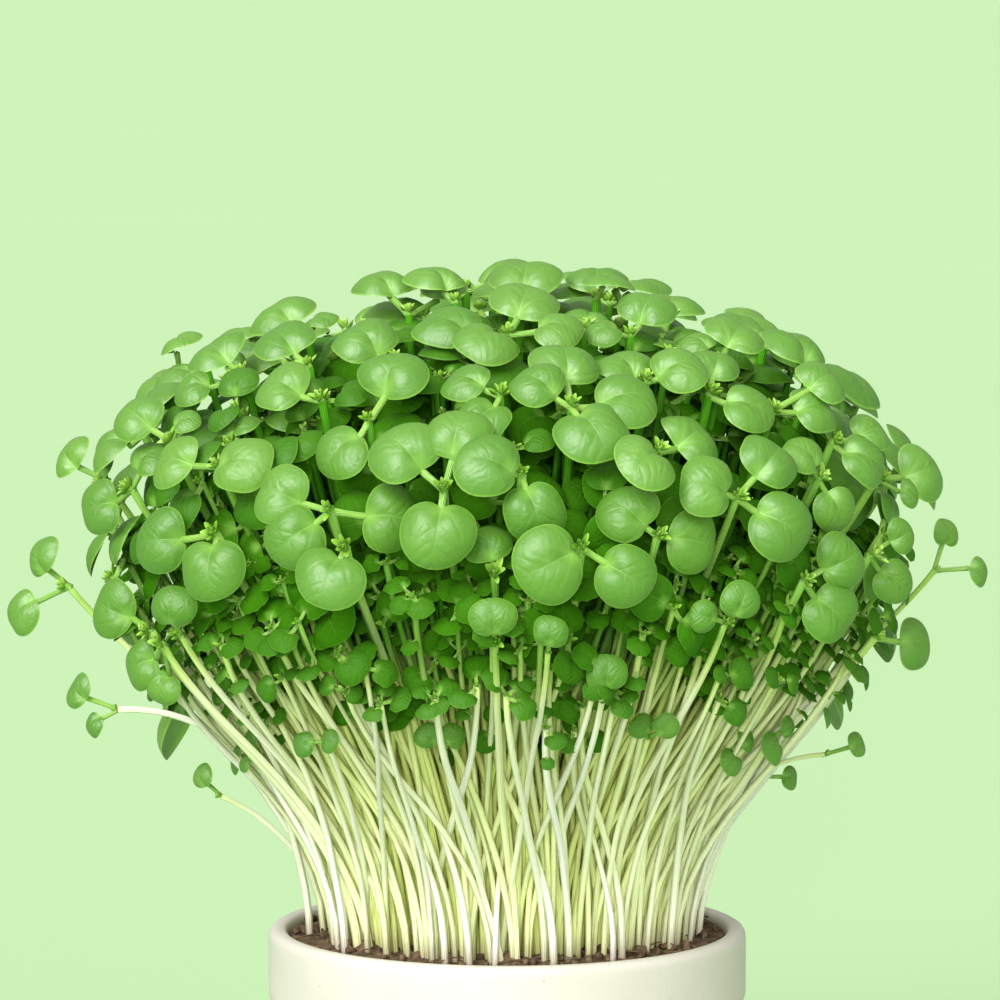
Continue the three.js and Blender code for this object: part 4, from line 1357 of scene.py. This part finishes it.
def pot_material():
    g = Graph("pot_ceramic")
    where = g.object_space()
    cloud = g.noise(where, 38.0, 4.0)
    specks = g.voronoi(where, 620.0, "F1")
    dots = g.smooth(specks, 0.13, 0.06) * g.smooth(g.noise(where, 300.0), 0.52, 0.62)
    colour = g.ramp(cloud, (0.3, (0.47, 0.44, 0.385)), (0.7, (0.54, 0.515, 0.46)))
    colour = g.mix(dots * 0.55, colour, (0.26, 0.19, 0.12, 1))
    g.set(Base_Color=colour, Roughness=g.line(cloud, 0.25, 0.42), Specular_IOR_Level=0.4)
    fine = g.noise(where, 1500.0, 3.0)
    g.bump(fine * 0.35 + cloud, 0.00025, 0.5)
    return g.material


leaf_look = leaf_material()
stem_look = stem_material()
bud_look = bud_material()
soil_look = soil_material()
pot_look = pot_material()
LOOKS = (leaf_look, stem_look, bud_look, soil_look)

# Everything from here on that varies by chance
chance = np.random.RandomState(11)


def way_out(seedling):
    """The way a seedling's tip points: between straight up and out of the canopy."""
    return plus(outward(seedling["junction"]), UP, TIP_UPWARDS)


def faced(leaf, pictured):
    """A leaf turned about its own middle: a high one upwards, and one of the picture to the viewer."""
    high = clamped((leaf["centre"][2] - TURNS_UP_FROM) / TURNS_UP_WITHIN)
    normal = leaf["normal"]
    flat = 1 - max(normal[2], 0)
    normal = plus(normal, UP, RAISED_SHARE * high * flat)
    view = unit(minus(EYE, leaf["centre"]))
    if pictured:
        normal = plus(normal, view, FACED_SHARE * (1 - high) * flat)
    elif high > 0:
        normal = plus(normal, view, min(max(LEAST_FACED - dot(normal, view), 0), MOST_TURNED))
    normal = unit(normal)
    along = unit(plus(leaf["along"], normal, -dot(leaf["along"], normal)))
    return {**leaf, "normal": normal, "along": along, "across": cross(normal, along)}


def deep_in(p):
    """How deep a point lies in the clump's own shade: 0 on top of it and 1 well inside."""
    low = clamped((SHADE_FROM - p[2]) / SHADE_WITHIN)
    return clamped(SHADE_AT_SURFACE - SHADE_OF_DEPTH * outside(p) + SHADE_OF_HEIGHT * low)


def dress(batch, seedling, foot, radii, template, depths, tip, sides, steps, toothed=0.0):
    """A seedling with its stem, its leaves on their stalks, any lower leaves and its growing tip."""
    tone = chance.uniform(0, 1)
    least, most = depths
    add_stem(batch, seedling, foot, radii, sides, steps, tone, chance)
    for leaf in seedling["leaves"]:
        own = clamped(tone * 0.5 + chance.uniform(0, 0.5))
        if template is not SMALL_BLADE:
            leaf = faced(leaf, seedling["pictured"])
        # deep: how much painted shade the leaf's colour gets, between least and most, from how far it lies in
        # the clump
        deep = least + (most - least) * deep_in(leaf["centre"])
        attached = add_leaf(batch, leaf, template, own, deep, chance, toothed)
        thick = STALK_RADIUS + STALK_RADIUS_OF_WIDTH * leaf["half_width"]
        add_stalk(batch, seedling["junction"], leaf, attached, tone, thick, sides - 2, 2 + sides // 4)
    for at, leaf in seedling.get("lower", ()):
        deep = least + (most - least) * deep_in(leaf["centre"])
        attached = add_leaf(batch, leaf, template, chance.uniform(0.2, 1), deep, chance, toothed)
        add_stalk(batch, at, leaf, attached, tone, WHORL_STALK_RADIUS, 3, 3)
    add_growing_tip(batch, seedling, way_out(seedling), *tip, tone, chance)


for number, tuft in enumerate(tufts, 1):
    batch = Batch()
    add_root_ball(batch, tuft["centre"])
    for seedling in tuft["seedlings"]:
        widest = max(leaf["half_width"] for leaf in seedling["leaves"])
        large = widest > LARGE_FROM
        blade = LARGE_BLADE if large else MIDDLE_BLADE
        tip = (SMALL_LEAFLET, 5, 0.6)
        if large:
            tip = (LEAFLET, chance.randint(9, 14), chance.uniform(0.9, 1.15))
        r = chance.uniform(0.9, 1.06) * np.interp(widest, (1.6, 4.0), (0.62, 1.0))
        radii = (STEM_RADII[0] * r, STEM_RADII[1] * r)
        dress(batch, seedling, seedling["foot"], radii, blade, (0.0, 0.5), tip, 9, 22)
    batch.piece(f"tuft_{number:02d}", LOOKS, "basil", f"basil_tuft_{number:02d}")

# Each group with its blade, the range of painted shade for its leaves, its growing tip and how toothed its
# leaves are
for group, name, blade, depths, tip, toothed in (
    (added_inner, "inner_seedlings", MIDDLE_BLADE, (0.5, 1.0), (SMALL_LEAFLET, 6, 0.7), 0.0),
    (added_under, "under_seedlings", SMALL_BLADE, (0.5, 1.0), (SMALL_LEAFLET, 5, 0.6), 0.15),
):
    batches = [Batch() for _ in range(QUARTERS)]
    for seedling in group:
        turn = math.atan2(seedling["junction"][1], seedling["junction"][0]) / (2 * math.pi)
        batch = batches[int((turn % 1) * QUARTERS) % QUARTERS]
        r = chance.uniform(*ADDED_STEM_RADIUS)
        dress(batch, seedling, seedling["curve"][0], (r * 1.1, r * 0.9), blade, depths, tip, 5, 12, toothed)
    for index, batch in enumerate(batches):
        batch.piece(f"{name}_{index + 1}", LOOKS, "basil")


def soil_surface():
    """Loose crumbs over the flat top of the solid soil."""
    rings, spokes = SOIL_GRID
    radius = RIM_RADIUS - POT_WALL - SOIL_CLEARANCE
    batch = Batch()
    points = [(0.0, 0.0)]
    for i in range(1, rings + 1):
        for k in range(spokes):
            a = 2 * math.pi * (k + 0.5 * (i % 2)) / spokes
            r = radius * i / rings
            points.append((r * math.cos(a), r * math.sin(a)))
    flat = np.array(points)
    height = np.zeros(len(flat))
    for size, strength in SOIL_WAVES:
        for _ in range(5):
            way = chance.uniform(0, FULL_TURN)
            wave = (flat @ (math.cos(way), math.sin(way))) * 2 * math.pi / (size * chance.uniform(0.7, 1.4))
            height += strength * 0.45 * np.sin(wave + chance.uniform(0, FULL_TURN))
    edge = np.hypot(*flat.T) / radius
    height = np.clip(0.35 + height * 0.6, 0.03, 1.1) * (1 - np.clip((edge - 0.9) * 6, 0, 0.8))
    top = np.column_stack([flat, height])
    plain = (0.5, 0.5, 0.5, 1.0)
    faces = ring_faces(spokes, rings, closed=False)
    batch.add(top, *faces, 0, flat / (2 * RIM_RADIUS) + 0.5, np.tile(plain, (len(top), 1)))
    points, quads, triangles = ball_template(6, 4)
    for _ in range(SOIL_CRUMBS):
        r, a = radius * math.sqrt(chance.uniform(0, 0.96)), chance.uniform(0, FULL_TURN)
        size = chance.uniform(0.25, 0.95) * chance.uniform(0.5, 1)
        rough = 1 + chance.uniform(-0.28, 0.28, (len(points), 1))
        lump = points * rough * size * chance.uniform(0.6, 1.2, 3)
        made = lump + (r * math.cos(a), r * math.sin(a), 0.3 + size * 0.35)
        places = made[:, :2] / (2 * RIM_RADIUS) + 0.5
        batch.add(made, quads, triangles, 0, places, np.tile(plain, (len(made), 1)))
    for _ in range(SOIL_FIBRES):
        r, a = radius * math.sqrt(chance.uniform(0, 0.9)), chance.uniform(0, FULL_TURN)
        way, long = chance.uniform(0, FULL_TURN), chance.uniform(2, 6)
        bend = chance.uniform(-0.8, 0.8)
        t = np.linspace(-0.5, 0.5, 7)
        turn = way + bend * t
        line = np.column_stack([
            r * math.cos(a) + long * t * np.cos(turn),
            r * math.sin(a) + long * t * np.sin(turn),
            0.75 + 0.25 * np.cos(t * 4) + chance.uniform(-0.1, 0.25),
        ])
        if np.hypot(line[:, 0], line[:, 1]).max() < radius:
            add_tube(batch, line, np.full(7, chance.uniform(0.06, 0.13)), 5, 0, 0.5, np.zeros(7))
    return batch.piece("soil_surface", (soil_look,), "soil")


def arc(r, z, radius, quarter, turns):
    """Points of the pot's outline round a corner, from a quarter turn of the circle on."""
    angles = [quarter * math.pi / 2 + turn for turn in turns]
    return [(r + radius * math.cos(a), z + radius * math.sin(a)) for a in angles]


def pot_outline():
    """Half of the pot's section, from the middle of its underside to the middle of its floor."""
    step = POT_HEIGHT - RIM_BAND
    wall_top = RIM_RADIUS - RIM_STEP
    slope = (wall_top - FOOT_RADIUS) / step
    inner_foot = FOOT_RADIUS - POT_WALL
    inner_rim = RIM_RADIUS - POT_WALL
    corner = (0, 0.5, 1.0, math.pi / 2)
    outline = [(0.0, 0.0), (FOOT_RADIUS * 0.5, 0.0), (FOOT_RADIUS - 2.6, 0.0)]
    outline += arc(FOOT_RADIUS - EDGE_ROUNDING, EDGE_ROUNDING, EDGE_ROUNDING, -1, corner)
    for z in np.linspace(EDGE_ROUNDING, step - 0.5, 26)[1:]:
        grooves = sum(deep * math.sin(z * often + start) for deep, often, start in TURNING_LINES)
        outline.append((FOOT_RADIUS + slope * z + grooves, float(z)))
    outline += [(wall_top + 0.15, step - 0.12), (RIM_RADIUS - 0.5, step + 0.1)]
    outline += arc(RIM_RADIUS - EDGE_ROUNDING, step + EDGE_ROUNDING * 1.15, EDGE_ROUNDING, -1, corner[1:])
    for z in np.linspace(step + 1.6, POT_HEIGHT - 1.4, 5):
        outline.append((RIM_RADIUS - 0.03 * math.sin(z * 4), float(z)))
    lip = (0, 0.4, 0.8, 1.2, math.pi / 2)
    outline += arc(RIM_RADIUS - OUTER_LIP, POT_HEIGHT - OUTER_LIP, OUTER_LIP, 0, lip)
    outline += arc(inner_rim + INNER_LIP, POT_HEIGHT - INNER_LIP, INNER_LIP, 1, corner)
    outline += [(inner_foot + slope * step, step), (inner_foot + slope * POT_FLOOR, POT_FLOOR)]
    return outline + [(inner_foot * 0.6, POT_FLOOR), (0.0, POT_FLOOR)]


def pot_piece():
    """The pot turned finely, with soft edges, faint turning lines and its drain holes."""
    outline = pot_outline()
    turns = np.arange(POT_SIDES) / POT_SIDES * 2 * np.pi
    points = [(0.0, 0.0, outline[0][1])]
    for r, z in outline[1:-1]:
        points += [(r * math.cos(a), r * math.sin(a), z) for a in turns]
    points.append((0.0, 0.0, outline[-1][1]))
    quads, triangles = ring_faces(POT_SIDES, len(outline) - 2, flipped=True)
    mesh = bpy.data.meshes.new("pot_turned")
    mesh.from_pydata((np.array(points) / MM_PER_M).tolist(), [], quads.tolist() + triangles.tolist())
    made = new_object("pot_turned", mesh)
    drills = []
    ring = [(math.cos(t), math.sin(t)) for t in np.linspace(0, 2 * math.pi, DRAIN_SIDES + 1)[:-1]]
    for i in range(DRAIN_HOLES):
        a = ((i + 0.5) / DRAIN_HOLES) * math.pi * 2
        x, y = math.cos(a) * DRAIN_CIRCLE, math.sin(a) * DRAIN_CIRCLE
        ends = (-DRILL_PAST, POT_FLOOR + DRILL_PAST)
        corners = [(x + c * DRAIN_RADIUS, y + s * DRAIN_RADIUS, z) for z in ends for c, s in ring]
        sheets = [tuple(range(DRAIN_SIDES))[::-1], tuple(range(DRAIN_SIDES, 2 * DRAIN_SIDES))]
        for k in range(DRAIN_SIDES):
            after = (k + 1) % DRAIN_SIDES
            sheets.append((k, after, DRAIN_SIDES + after, DRAIN_SIDES + k))
        drill_mesh = bpy.data.meshes.new("drill")
        drill_mesh.from_pydata((np.array(corners) / MM_PER_M).tolist(), [], sheets)
        drill = new_object("drill", drill_mesh)
        cut = made.modifiers.new("drain", "BOOLEAN")
        cut.operation, cut.solver, cut.object = "DIFFERENCE", "EXACT", drill
        drills.append(drill)
    bpy.context.view_layer.update()
    cut_mesh = bpy.data.meshes.new_from_object(made.evaluated_get(bpy.context.evaluated_depsgraph_get()))
    made.modifiers.clear()
    made.data = cut_mesh
    cut_mesh.name = "pot_turned"
    for drill in drills:
        bpy.data.objects.remove(drill)
    cut_mesh.polygons.foreach_set("use_smooth", np.ones(len(cut_mesh.polygons), bool))
    cut_mesh.materials.clear()
    cut_mesh.materials.append(pot_look)
    cut_mesh.set_sharp_from_angle(angle=POT_SHARPEST)
    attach(made, "root")
    return made


soil_surface()
pot = pot_piece()
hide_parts("pot")
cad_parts["soil"].data.materials.clear()
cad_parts["soil"].data.materials.append(soil_look)


def floor_and_light():
    """A pale floor, a pale sky and four soft lamps."""
    scene = bpy.context.scene
    mesh = bpy.data.meshes.new("floor")
    far = 30.0
    mesh.from_pydata([(-far, -far, 0), (far, -far, 0), (far, far, 0), (-far, far, 0)], [], [(0, 1, 2, 3)])
    floor = new_object("floor", mesh)
    g = Graph("floor_paper")
    tint = g.noise(g.object_space(), 3.0, 2.0)
    g.set(Base_Color=g.ramp(tint, (0.3, (0.320, 0.466, 0.250)), (0.7, (0.324, 0.471, 0.254))), Roughness=0.9)
    g.set(Specular_IOR_Level=0.1)
    mesh.materials.append(g.material)
    world = bpy.data.worlds.new("studio")
    world.use_nodes = True
    world.node_tree.nodes["Background"].inputs[0].default_value = (0.99, 1.0, 0.95, 1)
    world.node_tree.nodes["Background"].inputs[1].default_value = 0.42
    scene.world = world
    for name, strength, angle, turn in (
        ("key", 4.7, 40, (math.radians(52), 0, math.radians(-30))),
        ("fill", 1.1, 60, (math.radians(62), 0, math.radians(42))),
        ("back", 1.8, 50, (math.radians(-50), 0, math.radians(10))),
        ("front", 1.4, 12, (math.radians(82), 0, math.radians(-2))),
    ):
        lamp = bpy.data.lights.new(name, "SUN")
        lamp.energy = strength
        lamp.angle = math.radians(angle)
        lit = new_object(name, lamp)
        lit.rotation_euler = turn
        lit.visible_glossy = name == "key"


def camera():
    """The camera at the picture's viewpoint."""
    scene = bpy.context.scene
    seen = bpy.data.cameras.new("camera")
    seen.sensor_width = 36
    seen.lens = seen.sensor_width * EYE_DISTANCE / (2 * PICTURE_MIDDLE / PIXELS_PER_MM)
    seen.clip_end = 100
    made = new_object("camera", seen)
    made.location = scaled(plus(EYE, UP, SOIL_TOP), 1 / MM_PER_M)
    made.rotation_euler = (math.pi / 2 - EYE_ELEVATION, 0, 0)
    scene.camera = made
    scene.view_settings.view_transform = "Standard"
    scene.view_settings.look = "None"


floor_and_light()
camera()
